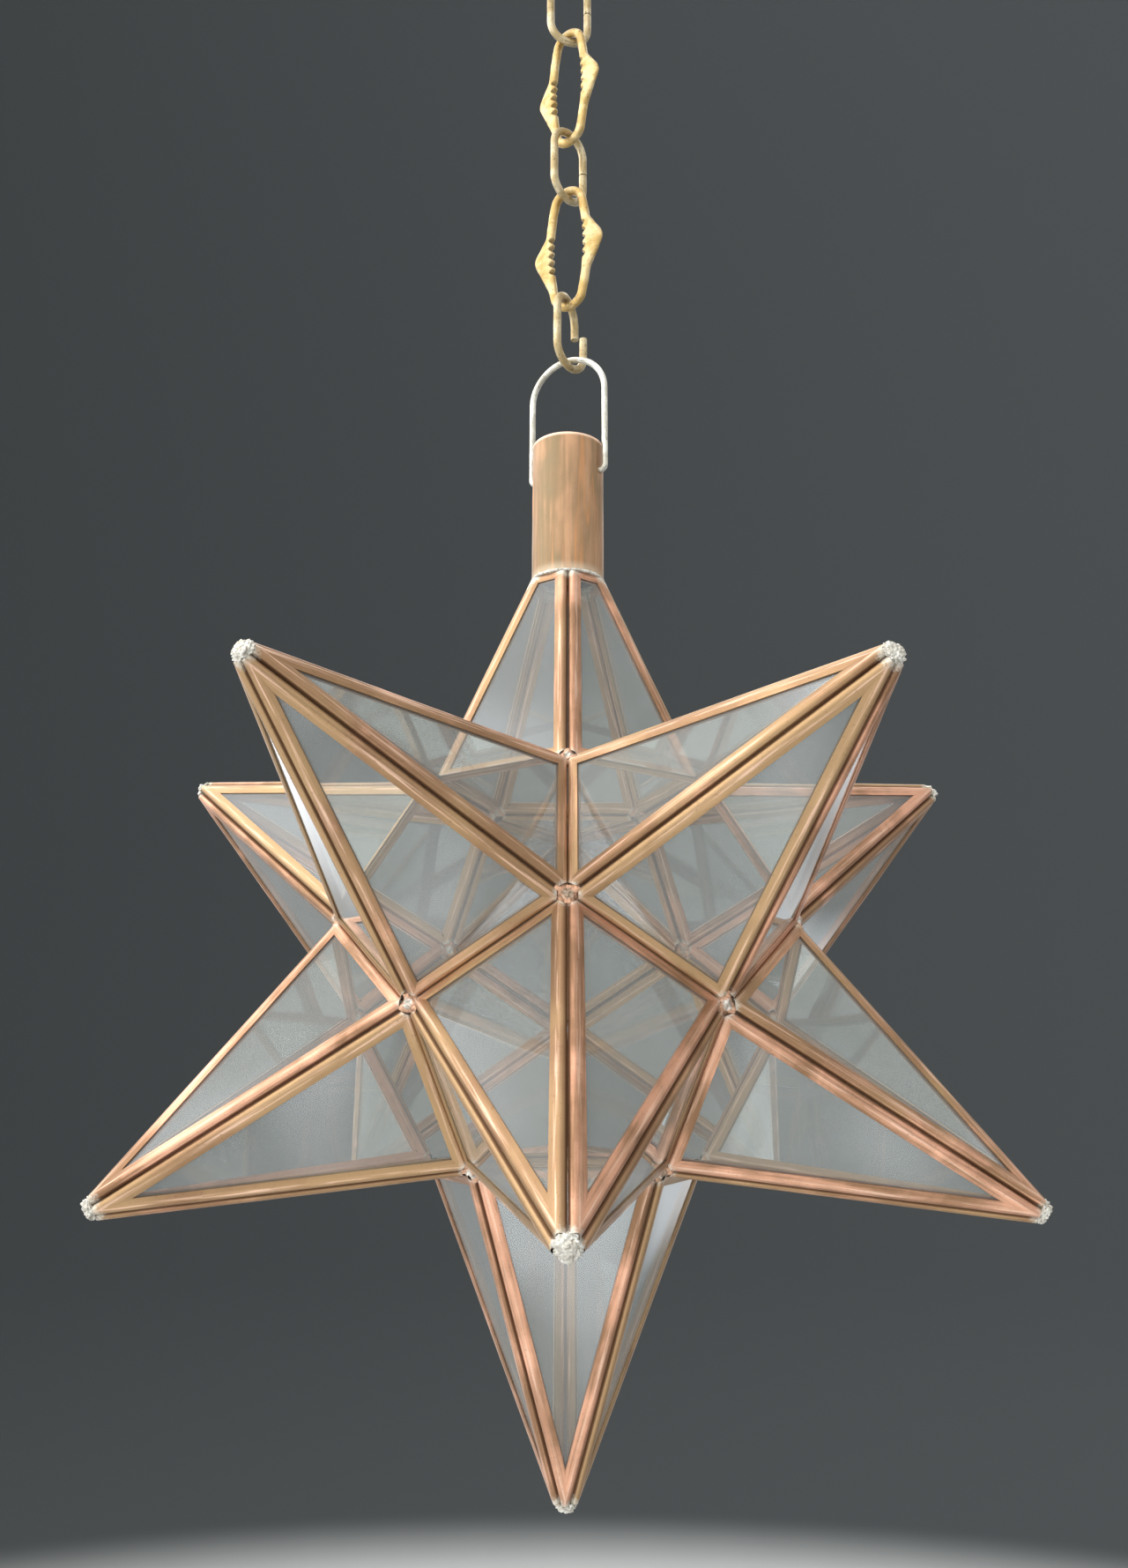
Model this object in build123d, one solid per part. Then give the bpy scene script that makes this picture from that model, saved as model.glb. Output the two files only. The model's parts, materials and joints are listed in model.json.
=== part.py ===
from build123d import *
import math
import os

# A hanging star lantern of clear glass in folded copper channel, with a copper neck tube, a wire bail
# and a brass chain. Millimetres, +Z up. The origin is the saddle of the top link, where a ceiling hook
# bears, and the lamp hangs below it. One point of the star's lower ring faces the front, -Y.

# Star: each point is a five-sided pyramid of framed panes on one face of a dodecahedron
PANE_BASE = 60.0  # base edge of a pane, which is one edge of the dodecahedron
PANE_SIDE = 126.0  # long edge of a pane

# Panes and the copper channel folded round their edges
GLASS_THICKNESS = 2.0
GLASS_CLEARANCE = 0.1  # between the glass and each wall of its channel
CHANNEL_THICKNESS = 3.6  # across the pane
CHANNEL_DEPTH = 4.4  # along the pane, from the rounded back to the lips
CHANNEL_BACK = 1.1  # copper behind the edge of the glass
CHANNEL_LIP = 0.35  # copper beside the glass at the lips
CHANNEL_GAP = 0.2  # groove between two channels where they come closest

# Solder
TIP_CORE = 0.5  # free radius between the five frames where a tip is cut off
TIP_CAP_OVERHANG = 0.4  # how far a solder cap stands out past the frames
TIP_CAP_HEIGHT = 3.6
CORNER_BEAD_RADIUS = 3.4
CORNER_BEAD_CLEARANCE = 0.05
SEAM_HEIGHT = 1.2  # solder between the top point and the neck tube
SEAM_OVERHANG = 0.5  # how far the seam stands out past the tube
SEAM_SHELF = 2.5  # how far the seam reaches in past the tube's bore

# Neck tube and the cap in its top end
TUBE_DIAMETER = 28.0
TUBE_WALL = 1.0
TUBE_LENGTH = 57.0
NECK_CAP_DROP = 7.5  # from the tube's top edge down to the cap's floor, so that the nipple stays in the tube
NECK_CAP_SKIRT = 5.0
NECK_CAP_WALL = 0.8
NECK_CAP_CLEARANCE = 0.05

# Bail, bent from one length of wire
BAIL_WIRE = 2.4
BAIL_HEIGHT = 51.5  # from the pivot to the middle of the wire at the top of the bow
BAIL_STAND_OFF = 1.0  # between the tube and a leg
BAIL_BEND = 2.0  # radius of the bend into the hole, at the middle of the wire
BAIL_TAIL = 2.2  # how far an end reaches past the tube's inner wall
BAIL_HOLE_DROP = 12.6  # from the tube's top edge to the middle of a hole
BAIL_HOLE_CLEARANCE = 0.08  # running clearance of the wire in its hole, on the radius

# Chain. Each turn is in degrees about Z, from a link that lies across the front.
TOP_LINK_TURN = 18.0
UPPER_ORNAMENT_TURN = -37.0
MIDDLE_LINK_TURN = 44.0
LOWER_ORNAMENT_TURN = -27.0
OPEN_LINK_TURN = 58.0
BAIL_TURN = -27.0
LINK_WIRE = 3.2
LINK_LENGTH = 35.5
LINK_WIDTH = 20.0
LINK_SEAM = 0.5  # slit where the ends of a bent link meet
LINK_PLAY = 0.55  # between two hooked links
OPEN_LINK_SPREAD = 4.2  # how far the open link's ends are sprung apart, sideways
OPEN_LINK_DROP = 16.5  # from the open link's top to its cut ends
OPEN_LINK_SLIT = 1.0  # height between the cut ends
ORNAMENT_LENGTH = 58.0
ORNAMENT_OPENING = 13.6  # widest part of an ornamental link's opening
ORNAMENT_END_RADIUS = 4.5  # inside of its rounded ends
ORNAMENT_BAND = 3.6  # width of its band, in the plane of the link
ORNAMENT_THICKNESS = 3.2
ORNAMENT_LEAF_REACH = 6.4  # how far a leaf stands out past the band
ORNAMENT_LEAF_RISE = 2.2  # from the link's middle up to the one leaf's tip, and down to the other's
ORNAMENT_LEAF_STEEP = 13.0  # length of a leaf's steep upper side, along the band
ORNAMENT_LEAF_GENTLE = 18.0  # length of its gentle lower side
ORNAMENT_LEAF_ROUND = 2.2
ORNAMENT_LEAF_THICKNESS = 2.6
ORNAMENT_NOTCHES = 5  # in the inner edge, beside each leaf
ORNAMENT_NOTCH_RADIUS = 1.1
ORNAMENT_NOTCH_PITCH = 3.8

# Lampholder and what carries it, inside the neck tube
NIPPLE_DIAMETER = 10.0
NIPPLE_BORE = 7.0
NIPPLE_STAND = 3.0  # how far the nipple stands up past its upper nut
NUT_ACROSS_FLATS = 14.0
NUT_HEIGHT = 3.5
THREAD_CLEARANCE = 0.05
HOLDER_GAP = 0.8  # between the lampholder and the tube's bore
HOLDER_RISE = 1.5  # from the tube's bottom edge to the lampholder's mouth
HOLDER_WALL = 1.6
SHELL_BORE = 14.0
SHELL_WALL = 0.5
SHELL_LENGTH = 16.0
INSERT_HEIGHT = 7.0
INSERT_CLEARANCE = 0.1
HOLDER_CAP_HEIGHT = 13.0
HOLDER_CAP_SHOULDER = 6.0  # straight part of the lampholder's cap, below its dome
HOLDER_CAP_ROOF = 4.0
HOLDER_CAP_TOP_RADIUS = 8.0  # flat top of its dome
CONTACT_RADIUS = 2.2
CONTACT_HEIGHT = 1.2  # let into the insert, flush with its face
TERMINAL_RADIUS = 1.5
TERMINAL_HEIGHT = 2.0
TERMINAL_PITCH = 14.0

# Shape of one point, worked out from the pane. A point stands along +Z with the star's centre below it.
FACE_SIDES = 5  # of a dodecahedron's face. Each ring, the upper and the lower, also has five points.
STEP = 360 / FACE_SIDES
HALF_STEP = math.radians(STEP / 2)
BASE_CIRCLE = PANE_BASE / (2 * math.sin(HALF_STEP))
BASE_APOTHEM = PANE_BASE / (2 * math.tan(HALF_STEP))
POINT_TILT = math.degrees(math.atan(2))  # angle between two neighbouring points of a dodecahedron
BASE_HEIGHT = BASE_APOTHEM / math.tan(math.radians(POINT_TILT / 2))
POINT_HEIGHT = math.sqrt(PANE_SIDE**2 - BASE_CIRCLE**2)
APEX_HEIGHT = BASE_HEIGHT + POINT_HEIGHT
PANE_HEIGHT = math.hypot(POINT_HEIGHT, BASE_APOTHEM)
SLOPE_RISE = POINT_HEIGHT / PANE_HEIGHT
SLOPE_RUN = BASE_APOTHEM / PANE_HEIGHT
POINT_AXIS = Vector(0, SLOPE_RISE, SLOPE_RUN)  # the point's axis, seen from one of its panes

# Angles at which two panes meet: along a ridge of one point, and along the valley between two points
NORMALS_DOT = SLOPE_RISE**2 * math.cos(2 * HALF_STEP) + SLOPE_RUN**2
RIDGE_ANGLE = math.pi - math.acos(NORMALS_DOT)
VALLEY_ANGLE = math.pi + math.radians(POINT_TILT) - 2 * math.acos(SLOPE_RUN)

# Where a tip is cut off, and where the top point is cut off under the neck tube
HALF_CHANNEL = CHANNEL_THICKNESS / 2
HALF_SLOT = GLASS_THICKNESS / 2 + GLASS_CLEARANCE
CHANNEL_ACROSS = HALF_CHANNEL / SLOPE_RISE
TIP_CUT = (CHANNEL_ACROSS + TIP_CORE) * POINT_HEIGHT / BASE_APOTHEM
TIP_CAP_RADIUS = TIP_CORE + 2 * CHANNEL_ACROSS + TIP_CAP_OVERHANG
TUBE_RADIUS = TUBE_DIAMETER / 2
TUBE_BORE_RADIUS = TUBE_RADIUS - TUBE_WALL
NECK_CUT = TUBE_RADIUS * POINT_HEIGHT / BASE_CIRCLE
CORNER_CUT = CORNER_BEAD_RADIUS + CORNER_BEAD_CLEARANCE

# Heights along the hanging axis, from the origin down
WIRE_RADIUS = LINK_WIRE / 2
BAIL_RADIUS = BAIL_WIRE / 2
LINK_REACH = LINK_LENGTH / 2 - WIRE_RADIUS  # from a plain link's middle to the wire of its bow
ORNAMENT_REACH = ORNAMENT_LENGTH / 2 - ORNAMENT_BAND / 2
HOOKED = WIRE_RADIUS + ORNAMENT_BAND / 2 + LINK_PLAY
TOP_LINK_Z = WIRE_RADIUS - LINK_REACH
UPPER_ORNAMENT_Z = TOP_LINK_Z - LINK_REACH + HOOKED - ORNAMENT_REACH
MIDDLE_LINK_Z = UPPER_ORNAMENT_Z - ORNAMENT_REACH + HOOKED - LINK_REACH
LOWER_ORNAMENT_Z = MIDDLE_LINK_Z - LINK_REACH + HOOKED - ORNAMENT_REACH
OPEN_LINK_Z = LOWER_ORNAMENT_Z - ORNAMENT_REACH + HOOKED - LINK_REACH
BOW_Z = OPEN_LINK_Z - LINK_REACH + WIRE_RADIUS + BAIL_RADIUS + LINK_PLAY
PIVOT_Z = BOW_Z - BAIL_HEIGHT
TUBE_TOP_Z = PIVOT_Z + BAIL_HOLE_DROP
TUBE_BOTTOM_Z = TUBE_TOP_Z - TUBE_LENGTH
NECK_CAP_Z = TUBE_TOP_Z - NECK_CAP_DROP
SEAT_Z = TUBE_BOTTOM_Z - SEAM_HEIGHT
STAR_Z = SEAT_Z - (APEX_HEIGHT - NECK_CUT)


def line_crossing(first, second):
    """Point where two lines cross, each given by a point and a direction."""
    (start, along), (other, other_along) = first, second
    square = Vector(-other_along.Y, other_along.X)
    return start + along * ((other - start).dot(square) / along.dot(square))


def inset(corners, setbacks):
    """Corners of an anticlockwise outline whose edges move inwards, each by its own setback."""
    lines = []
    for start, end, setback in zip(corners, corners[1:] + corners[:1], setbacks):
        along = (end - start).normalized()
        lines.append((start + Vector(-along.Y, along.X) * setback, along))
    return [line_crossing(lines[k - 1], lines[k]) for k in range(len(lines))]


def edge_setback(angle):
    """How far a channel's back stays from the line where two panes meet, so that the two backs clear."""
    return (HALF_CHANNEL + CHANNEL_GAP / 2) / math.sin(angle / 2) - HALF_CHANNEL


def channel_section():
    """Section of the folded channel: rounded back at the left, open slot for the glass at the right."""
    lip = HALF_SLOT + CHANNEL_LIP
    back = ThreePointArc((HALF_CHANNEL, HALF_CHANNEL), (0, 0), (HALF_CHANNEL, -HALF_CHANNEL))
    lower = TangentArc((HALF_CHANNEL, -HALF_CHANNEL), (CHANNEL_DEPTH, -lip), tangent=(1, 0))
    upper = TangentArc((HALF_CHANNEL, HALF_CHANNEL), (CHANNEL_DEPTH, lip), tangent=(1, 0))
    slot = Polyline(
        (CHANNEL_DEPTH, -lip),
        (CHANNEL_DEPTH, -HALF_SLOT),
        (CHANNEL_BACK, -HALF_SLOT),
        (CHANNEL_BACK, HALF_SLOT),
        (CHANNEL_DEPTH, HALF_SLOT),
        (CHANNEL_DEPTH, lip),
    )
    return make_face(back.edges() + lower.edges() + slot.edges() + upper.edges())


def channel_frame(corners):
    """Channel folded round an outline, mitred at every corner."""
    inner = inset(corners, [2 * CHANNEL_DEPTH] * len(corners))
    section = channel_section()
    frame = Part()
    for k, start in enumerate(corners):
        following = (k + 1) % len(corners)
        end = corners[following]
        along = (end - start).normalized()
        across = Plane(origin=start, x_dir=Vector(-along.Y, along.X), z_dir=along)
        bar = extrude(across * section, amount=(end - start).length)
        mitre = make_face(Polyline(start, end, inner[following], inner[k], close=True))
        frame += bar & extrude(mitre, amount=CHANNEL_THICKNESS, both=True)
    return frame


def glass_sheet(corners):
    """Sheet of glass that fits into the channel round an outline."""
    outline = inset(corners, [CHANNEL_BACK + GLASS_CLEARANCE] * len(corners))
    return extrude(make_face(Polyline(*outline, close=True)), amount=GLASS_THICKNESS / 2, both=True)


def cut_off(piece, origin, towards):
    """Piece without what lies past a plane that faces the given way."""
    return split(piece, bisect_by=Plane(origin=origin, z_dir=towards), keep=Keep.BOTTOM)


def trim_ends(piece, end_cut, spare):
    """Pane piece cut off square to the point's axis, and at its two base corners for the solder beads."""
    apex = Vector(0, PANE_HEIGHT)
    piece = cut_off(piece, apex - POINT_AXIS * (end_cut + spare), POINT_AXIS)
    for side in (-1, 1):
        corner = Vector(side * PANE_BASE / 2, 0)
        along_base = Vector(-side, 0)
        along_side = (apex - corner).normalized()
        inwards = (along_base + along_side).normalized()
        piece = cut_off(piece, corner + inwards * (CORNER_CUT + spare), inwards * -1)
    return piece


def pane_and_frame(end_cut, closing_edge):
    """One pane and its frame in the pane's own plane, with the base on X and the point's tip towards +Y."""
    half_base = PANE_BASE / 2
    base = [Vector(-half_base, 0), Vector(half_base, 0)]
    ridge, valley = edge_setback(RIDGE_ANGLE), edge_setback(VALLEY_ANGLE)
    if closing_edge:
        top = PANE_HEIGHT - end_cut / SLOPE_RISE + HALF_CHANNEL / 2
        half_top = half_base * (1 - top / PANE_HEIGHT)
        corners = inset(base + [Vector(half_top, top), Vector(-half_top, top)], [valley, ridge, 0, ridge])
    else:
        corners = inset(base + [Vector(0, PANE_HEIGHT)], [valley, ridge, ridge])
    frame = trim_ends(channel_frame(corners), end_cut, 0)
    glass = trim_ends(glass_sheet(corners), end_cut, GLASS_CLEARANCE)
    return glass.solid(), frame.solid()


def point_places():
    """Name and place of each of the twelve points, about the star's centre."""
    front = -90
    places = {"top_point": Rot(Z=front)}
    for k in range(FACE_SIDES):
        turn = front + STEP * k
        places[f"upper_point_{k + 1}"] = Rot(Z=turn + STEP / 2) * Rot(Y=POINT_TILT)
        places[f"lower_point_{k + 1}"] = Rot(Z=turn) * Rot(Y=180 - POINT_TILT) * Rot(Z=180)
    places["bottom_point"] = Rot(Z=front) * Rot(Y=180)
    return {name: Pos(0, 0, STAR_Z) * place for name, place in places.items()}


def pane_places():
    """Places of the five panes of a point."""
    middle = Vector(math.cos(HALF_STEP), math.sin(HALF_STEP))
    outwards = middle * SLOPE_RISE + Vector(0, 0, SLOPE_RUN)
    plane = Plane(
        origin=middle * BASE_APOTHEM + Vector(0, 0, BASE_HEIGHT),
        x_dir=Vector(-middle.Y, middle.X),
        z_dir=outwards,
    )
    return [Rot(Z=STEP * k) * plane.location for k in range(FACE_SIDES)]


def star_points():
    """Panes and frames of all twelve points."""
    full_glass, full_frame = pane_and_frame(TIP_CUT, False)
    neck_glass, neck_frame = pane_and_frame(NECK_CUT, True)
    nodes = {}
    for name, place in point_places().items():
        glass, frame = (neck_glass, neck_frame) if name == "top_point" else (full_glass, full_frame)
        nodes[f"{name}_frames"] = [place * pane * frame for pane in pane_places()]
        nodes[f"{name}_panes"] = [place * pane * glass for pane in pane_places()]
    return nodes


def tip_caps():
    """Domes of solder on the cut ends of the eleven closed points."""
    dome_radius = (TIP_CAP_RADIUS**2 + TIP_CAP_HEIGHT**2) / (2 * TIP_CAP_HEIGHT)
    ball = Pos(0, 0, TIP_CAP_HEIGHT - dome_radius) * Sphere(dome_radius)
    dome = split(ball, bisect_by=Plane.XY, keep=Keep.TOP)
    seat = Pos(0, 0, APEX_HEIGHT - TIP_CUT)
    return [place * seat * dome for name, place in point_places().items() if name != "top_point"]


def corner_beads():
    """Beads of solder on the twenty inner corners, where six frames meet."""
    corner = Pos(BASE_CIRCLE, 0, BASE_HEIGHT)
    bead = Sphere(CORNER_BEAD_RADIUS)
    beads = []
    for name, place in point_places().items():
        turns = FACE_SIDES if name in ("top_point", "bottom_point") else 1
        beads += [place * Rot(Z=STEP * k) * corner * bead for k in range(turns)]
    return beads


def revolved(*outline):
    """Solid of revolution about Z from a closed outline of radius and height pairs."""
    return revolve(Plane.XZ * make_face(Polyline(*outline, close=True)), Axis.Z)


def sleeve(outer, bore, low, high):
    """Plain round sleeve about Z."""
    return revolved((bore, low), (outer, low), (outer, high), (bore, high))


def neck_seam():
    """Ring of solder that the neck tube stands on, with a rounded rim."""
    bore = TUBE_BORE_RADIUS - SEAM_SHELF
    rim = TUBE_RADIUS + SEAM_OVERHANG
    half = SEAM_HEIGHT / 2
    edge = ThreePointArc((rim - half, 0), (rim, half), (rim - half, SEAM_HEIGHT))
    sides = Polyline((rim - half, SEAM_HEIGHT), (bore, SEAM_HEIGHT), (bore, 0), (rim - half, 0))
    ring = revolve(Plane.XZ * make_face(edge.edges() + sides.edges()), Axis.Z)
    return Pos(0, 0, SEAT_Z) * ring


def neck_tube():
    """Copper tube with a hole in each side for the bail."""
    tube = sleeve(TUBE_RADIUS, TUBE_BORE_RADIUS, TUBE_BOTTOM_Z, TUBE_TOP_Z)
    hole = Cylinder(BAIL_RADIUS + BAIL_HOLE_CLEARANCE, 2 * TUBE_DIAMETER, rotation=(0, 90, 0))
    return tube - Rot(Z=BAIL_TURN) * Pos(0, 0, PIVOT_Z) * hole


def neck_cap():
    """Shallow cup inside the tube, below its top edge, with a hole in its floor for the nipple."""
    rim = TUBE_BORE_RADIUS - NECK_CAP_CLEARANCE
    hole = NIPPLE_DIAMETER / 2 + THREAD_CLEARANCE
    underside = NECK_CAP_Z - NECK_CAP_WALL
    brim = underside + NECK_CAP_SKIRT
    inside = rim - NECK_CAP_WALL
    return revolved(
        (hole, underside),
        (rim, underside),
        (rim, brim),
        (inside, brim),
        (inside, NECK_CAP_Z),
        (hole, NECK_CAP_Z),
    )


def wire_along(path, diameter):
    """Round wire bent along a path."""
    section = Plane(origin=path @ 0, z_dir=path % 0) * Circle(diameter / 2)
    return sweep(section, path=path)


def wire_bail():
    """Bail: a bow with two legs, whose ends are bent in through the tube's holes."""
    leg = TUBE_RADIUS + BAIL_STAND_OFF + BAIL_RADIUS
    tail = TUBE_BORE_RADIUS - BAIL_TAIL
    shoulder = BAIL_HEIGHT - leg
    path = Wire(
        [
            Line((tail, 0), (leg - BAIL_BEND, 0)),
            CenterArc((leg - BAIL_BEND, BAIL_BEND), BAIL_BEND, -90, 90),
            Line((leg, BAIL_BEND), (leg, shoulder)),
            CenterArc((0, shoulder), leg, 0, 180),
            Line((-leg, shoulder), (-leg, BAIL_BEND)),
            CenterArc((BAIL_BEND - leg, BAIL_BEND), BAIL_BEND, 180, 90),
            Line((BAIL_BEND - leg, 0), (-tail, 0)),
        ]
    )
    return Rot(Z=BAIL_TURN) * Pos(0, 0, PIVOT_Z) * wire_along(Plane.XZ * path, BAIL_WIRE)


def plain_link(middle, turn):
    """Oval link bent from wire, with a slit where its ends meet."""
    bow = (LINK_WIDTH - LINK_WIRE) / 2
    straight = LINK_REACH - bow
    slit = LINK_SEAM / 2
    path = Wire(
        [
            Line((bow, slit), (bow, straight)),
            CenterArc((0, straight), bow, 0, 180),
            Line((-bow, straight), (-bow, -straight)),
            CenterArc((0, -straight), bow, 180, 180),
            Line((bow, -straight), (bow, -slit)),
        ]
    )
    return Rot(Z=turn) * Pos(0, 0, middle) * wire_along(Plane.XZ * path, LINK_WIRE)


def open_link():
    """Plain link sprung open: its two bows are turned apart about the closed side."""
    bow = (LINK_WIDTH - LINK_WIRE) / 2
    straight = LINK_REACH - bow
    cut = LINK_LENGTH / 2 - OPEN_LINK_DROP
    slit = OPEN_LINK_SLIT / 2
    half_spread = math.degrees(math.asin(OPEN_LINK_SPREAD / (4 * bow)))
    upper = [
        Line((2 * bow, cut + slit), (2 * bow, straight)),
        CenterArc((bow, straight), bow, 0, 180),
    ]
    closed_side = Line((0, straight), (0, -straight))
    lower = [
        CenterArc((bow, -straight), bow, 180, 180),
        Line((2 * bow, -straight), (2 * bow, cut - slit)),
    ]
    path = Wire(
        [Rot(Z=half_spread) * (Plane.XZ * edge) for edge in upper]
        + [Plane.XZ * closed_side]
        + [Rot(Z=-half_spread) * (Plane.XZ * edge) for edge in lower]
    )
    return Rot(Z=OPEN_LINK_TURN) * Pos(-bow, 0, OPEN_LINK_Z) * wire_along(path, LINK_WIRE)


def oval_path(half_width, half_length, end_radius):
    """Closed oval of four arcs that run smoothly into each other."""
    end = half_length - end_radius
    side_radius = (half_width**2 + end**2 - end_radius**2) / (2 * (half_width - end_radius))
    lean = math.degrees(math.atan2(end, side_radius - half_width))
    return Wire(
        [
            CenterArc((half_width - side_radius, 0), side_radius, 0, lean),
            CenterArc((0, end), end_radius, lean, 180 - 2 * lean),
            CenterArc((side_radius - half_width, 0), side_radius, 180 - lean, 2 * lean),
            CenterArc((0, -end), end_radius, 180 + lean, 180 - 2 * lean),
            CenterArc((half_width - side_radius, 0), side_radius, -lean, lean),
        ]
    )


def leaf_outline(height):
    """Leaf on an ornamental link's right side, tip at the given height: steep above, gentle below."""
    root = ORNAMENT_OPENING / 2 + ORNAMENT_BAND / 4
    tip = ORNAMENT_OPENING / 2 + ORNAMENT_BAND + ORNAMENT_LEAF_REACH
    leaf = make_face(
        Polyline(
            (root, height + ORNAMENT_LEAF_STEEP),
            (root, height - ORNAMENT_LEAF_GENTLE),
            (tip, height),
            close=True,
        )
    )
    return fillet(leaf.vertices().sort_by(Axis.X)[-1], ORNAMENT_LEAF_ROUND)


def ornamental_link(middle, turn):
    """Cast link: an oval band with a leaf on each side and notches in the inner edge beside it."""
    half_band = ORNAMENT_BAND / 2
    half_opening = ORNAMENT_OPENING / 2
    path = Plane.XZ * oval_path(half_opening + half_band, ORNAMENT_REACH, ORNAMENT_END_RADIUS + half_band)
    across = Plane(origin=path @ 0, x_dir=(1, 0, 0), z_dir=path % 0)
    link = sweep(across * Ellipse(half_band, ORNAMENT_THICKNESS / 2), path=path)
    notch = Cylinder(ORNAMENT_NOTCH_RADIUS, ORNAMENT_BAND + ORNAMENT_THICKNESS, rotation=(90, 0, 0))
    for side, tip in ((0, ORNAMENT_LEAF_RISE), (180, -ORNAMENT_LEAF_RISE)):
        leaf = Rot(X=90) * extrude(leaf_outline(tip), amount=ORNAMENT_LEAF_THICKNESS / 2, both=True)
        link += Rot(Z=side) * leaf
        for k in range(ORNAMENT_NOTCHES):
            height = tip + (k - (ORNAMENT_NOTCHES - 1) / 2) * ORNAMENT_NOTCH_PITCH
            link -= Rot(Z=side) * Pos(half_opening, 0, height) * notch
    return Rot(Z=turn) * Pos(0, 0, middle) * link


def nipple_nuts():
    """Two hexagon nuts that clamp the neck cap on the nipple."""
    hexagon = RegularPolygon(NUT_ACROSS_FLATS / 2, 6, major_radius=False)
    nut = extrude(hexagon - Circle(NIPPLE_DIAMETER / 2 + THREAD_CLEARANCE), amount=NUT_HEIGHT)
    return [Pos(0, 0, NECK_CAP_Z) * nut, Pos(0, 0, NECK_CAP_Z - NECK_CAP_WALL - NUT_HEIGHT) * nut]


def lampholder():
    """Lampholder that hangs on the nipple inside the neck tube."""
    outer = TUBE_BORE_RADIUS - HOLDER_GAP
    bore = outer - HOLDER_WALL
    insert_rim = bore - INSERT_CLEARANCE
    thread = NIPPLE_DIAMETER / 2
    hole = thread + THREAD_CLEARANCE
    mouth = TUBE_BOTTOM_Z + HOLDER_RISE
    insert_low = mouth + SHELL_LENGTH
    insert_high = insert_low + INSERT_HEIGHT
    shoulder = insert_high + HOLDER_CAP_SHOULDER
    crown = insert_high + HOLDER_CAP_HEIGHT
    roof = crown - HOLDER_CAP_ROOF
    shell_bore = SHELL_BORE / 2
    contact_place = Pos(0, 0, insert_low + CONTACT_HEIGHT / 2)
    recess = contact_place * Cylinder(CONTACT_RADIUS + INSERT_CLEARANCE, CONTACT_HEIGHT)
    insert = Pos(0, 0, (insert_low + insert_high) / 2) * Cylinder(insert_rim, INSERT_HEIGHT) - recess
    terminal = Pos(0, 0, insert_high + TERMINAL_HEIGHT / 2) * Cylinder(TERMINAL_RADIUS, TERMINAL_HEIGHT)
    return {
        "lampholder_sleeve": [sleeve(outer, bore, mouth, insert_high)],
        "lampholder_insert": [insert],
        "lampholder_screw_shell": [sleeve(shell_bore + SHELL_WALL, shell_bore, mouth, insert_low)],
        "lampholder_contact": [contact_place * Cylinder(CONTACT_RADIUS, CONTACT_HEIGHT)],
        "lampholder_terminals": [Pos(side * TERMINAL_PITCH / 2) * terminal for side in (-1, 1)],
        "lampholder_cap": [
            revolved(
                (outer, insert_high),
                (outer, shoulder),
                (HOLDER_CAP_TOP_RADIUS, crown),
                (hole, crown),
                (hole, roof),
                (HOLDER_CAP_TOP_RADIUS, roof),
                (bore, shoulder - HOLDER_WALL),
                (bore, insert_high),
            )
        ],
        "cord_nipple": [sleeve(thread, NIPPLE_BORE / 2, roof, NECK_CAP_Z + NUT_HEIGHT + NIPPLE_STAND)],
    }


NODES = {
    "top_plain_link": [plain_link(TOP_LINK_Z, TOP_LINK_TURN)],
    "upper_ornamental_link": [ornamental_link(UPPER_ORNAMENT_Z, UPPER_ORNAMENT_TURN)],
    "middle_plain_link": [plain_link(MIDDLE_LINK_Z, MIDDLE_LINK_TURN)],
    "lower_ornamental_link": [ornamental_link(LOWER_ORNAMENT_Z, LOWER_ORNAMENT_TURN)],
    "open_link": [open_link()],
    "wire_bail": [wire_bail()],
    "neck_tube": [neck_tube()],
    "neck_seam": [neck_seam()],
    "neck_cap": [neck_cap()],
    "nipple_nuts": nipple_nuts(),
    "tip_solder": tip_caps(),
    "corner_solder": corner_beads(),
    **lampholder(),
    **star_points(),
}

os.makedirs("parts", exist_ok=True)
for name, pieces in NODES.items():
    solids = [solid for piece in pieces for solid in piece.solids()]
    export_step(Compound(solids), f"parts/{name}.step")
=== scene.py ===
import json
import random
from math import acos, asin, atan, atan2, copysign, cos, exp, hypot, pi, radians, sin, sqrt, tan

import bmesh
import bpy
from mathutils import Matrix, Vector, noise


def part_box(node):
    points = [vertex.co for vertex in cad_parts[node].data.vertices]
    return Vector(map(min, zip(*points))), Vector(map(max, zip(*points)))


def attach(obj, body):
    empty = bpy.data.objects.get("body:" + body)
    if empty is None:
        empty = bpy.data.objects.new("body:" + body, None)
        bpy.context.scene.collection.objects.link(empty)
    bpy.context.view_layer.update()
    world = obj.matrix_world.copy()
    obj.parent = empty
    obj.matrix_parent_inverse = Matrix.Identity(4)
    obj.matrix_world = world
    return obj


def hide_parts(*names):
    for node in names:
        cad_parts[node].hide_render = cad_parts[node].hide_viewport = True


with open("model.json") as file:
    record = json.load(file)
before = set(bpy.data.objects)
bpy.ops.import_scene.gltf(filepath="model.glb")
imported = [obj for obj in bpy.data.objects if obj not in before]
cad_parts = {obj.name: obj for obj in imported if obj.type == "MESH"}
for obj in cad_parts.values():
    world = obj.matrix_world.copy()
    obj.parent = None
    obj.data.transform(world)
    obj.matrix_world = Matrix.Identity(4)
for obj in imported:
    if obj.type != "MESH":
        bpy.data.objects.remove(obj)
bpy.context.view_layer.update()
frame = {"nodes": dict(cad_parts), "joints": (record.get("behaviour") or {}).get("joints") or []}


# Plain links, one at the top and one between the ornamental links. Each is an oval bent from brass wire,
# with its two ends butted in one side. The brass has aged, and it is rubbed pale in patches.
LINK_WIRE = 0.0032
LINK_LENGTH = 0.0355
LINK_WIDTH = 0.020
LINK_SEAM = 0.0005
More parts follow.
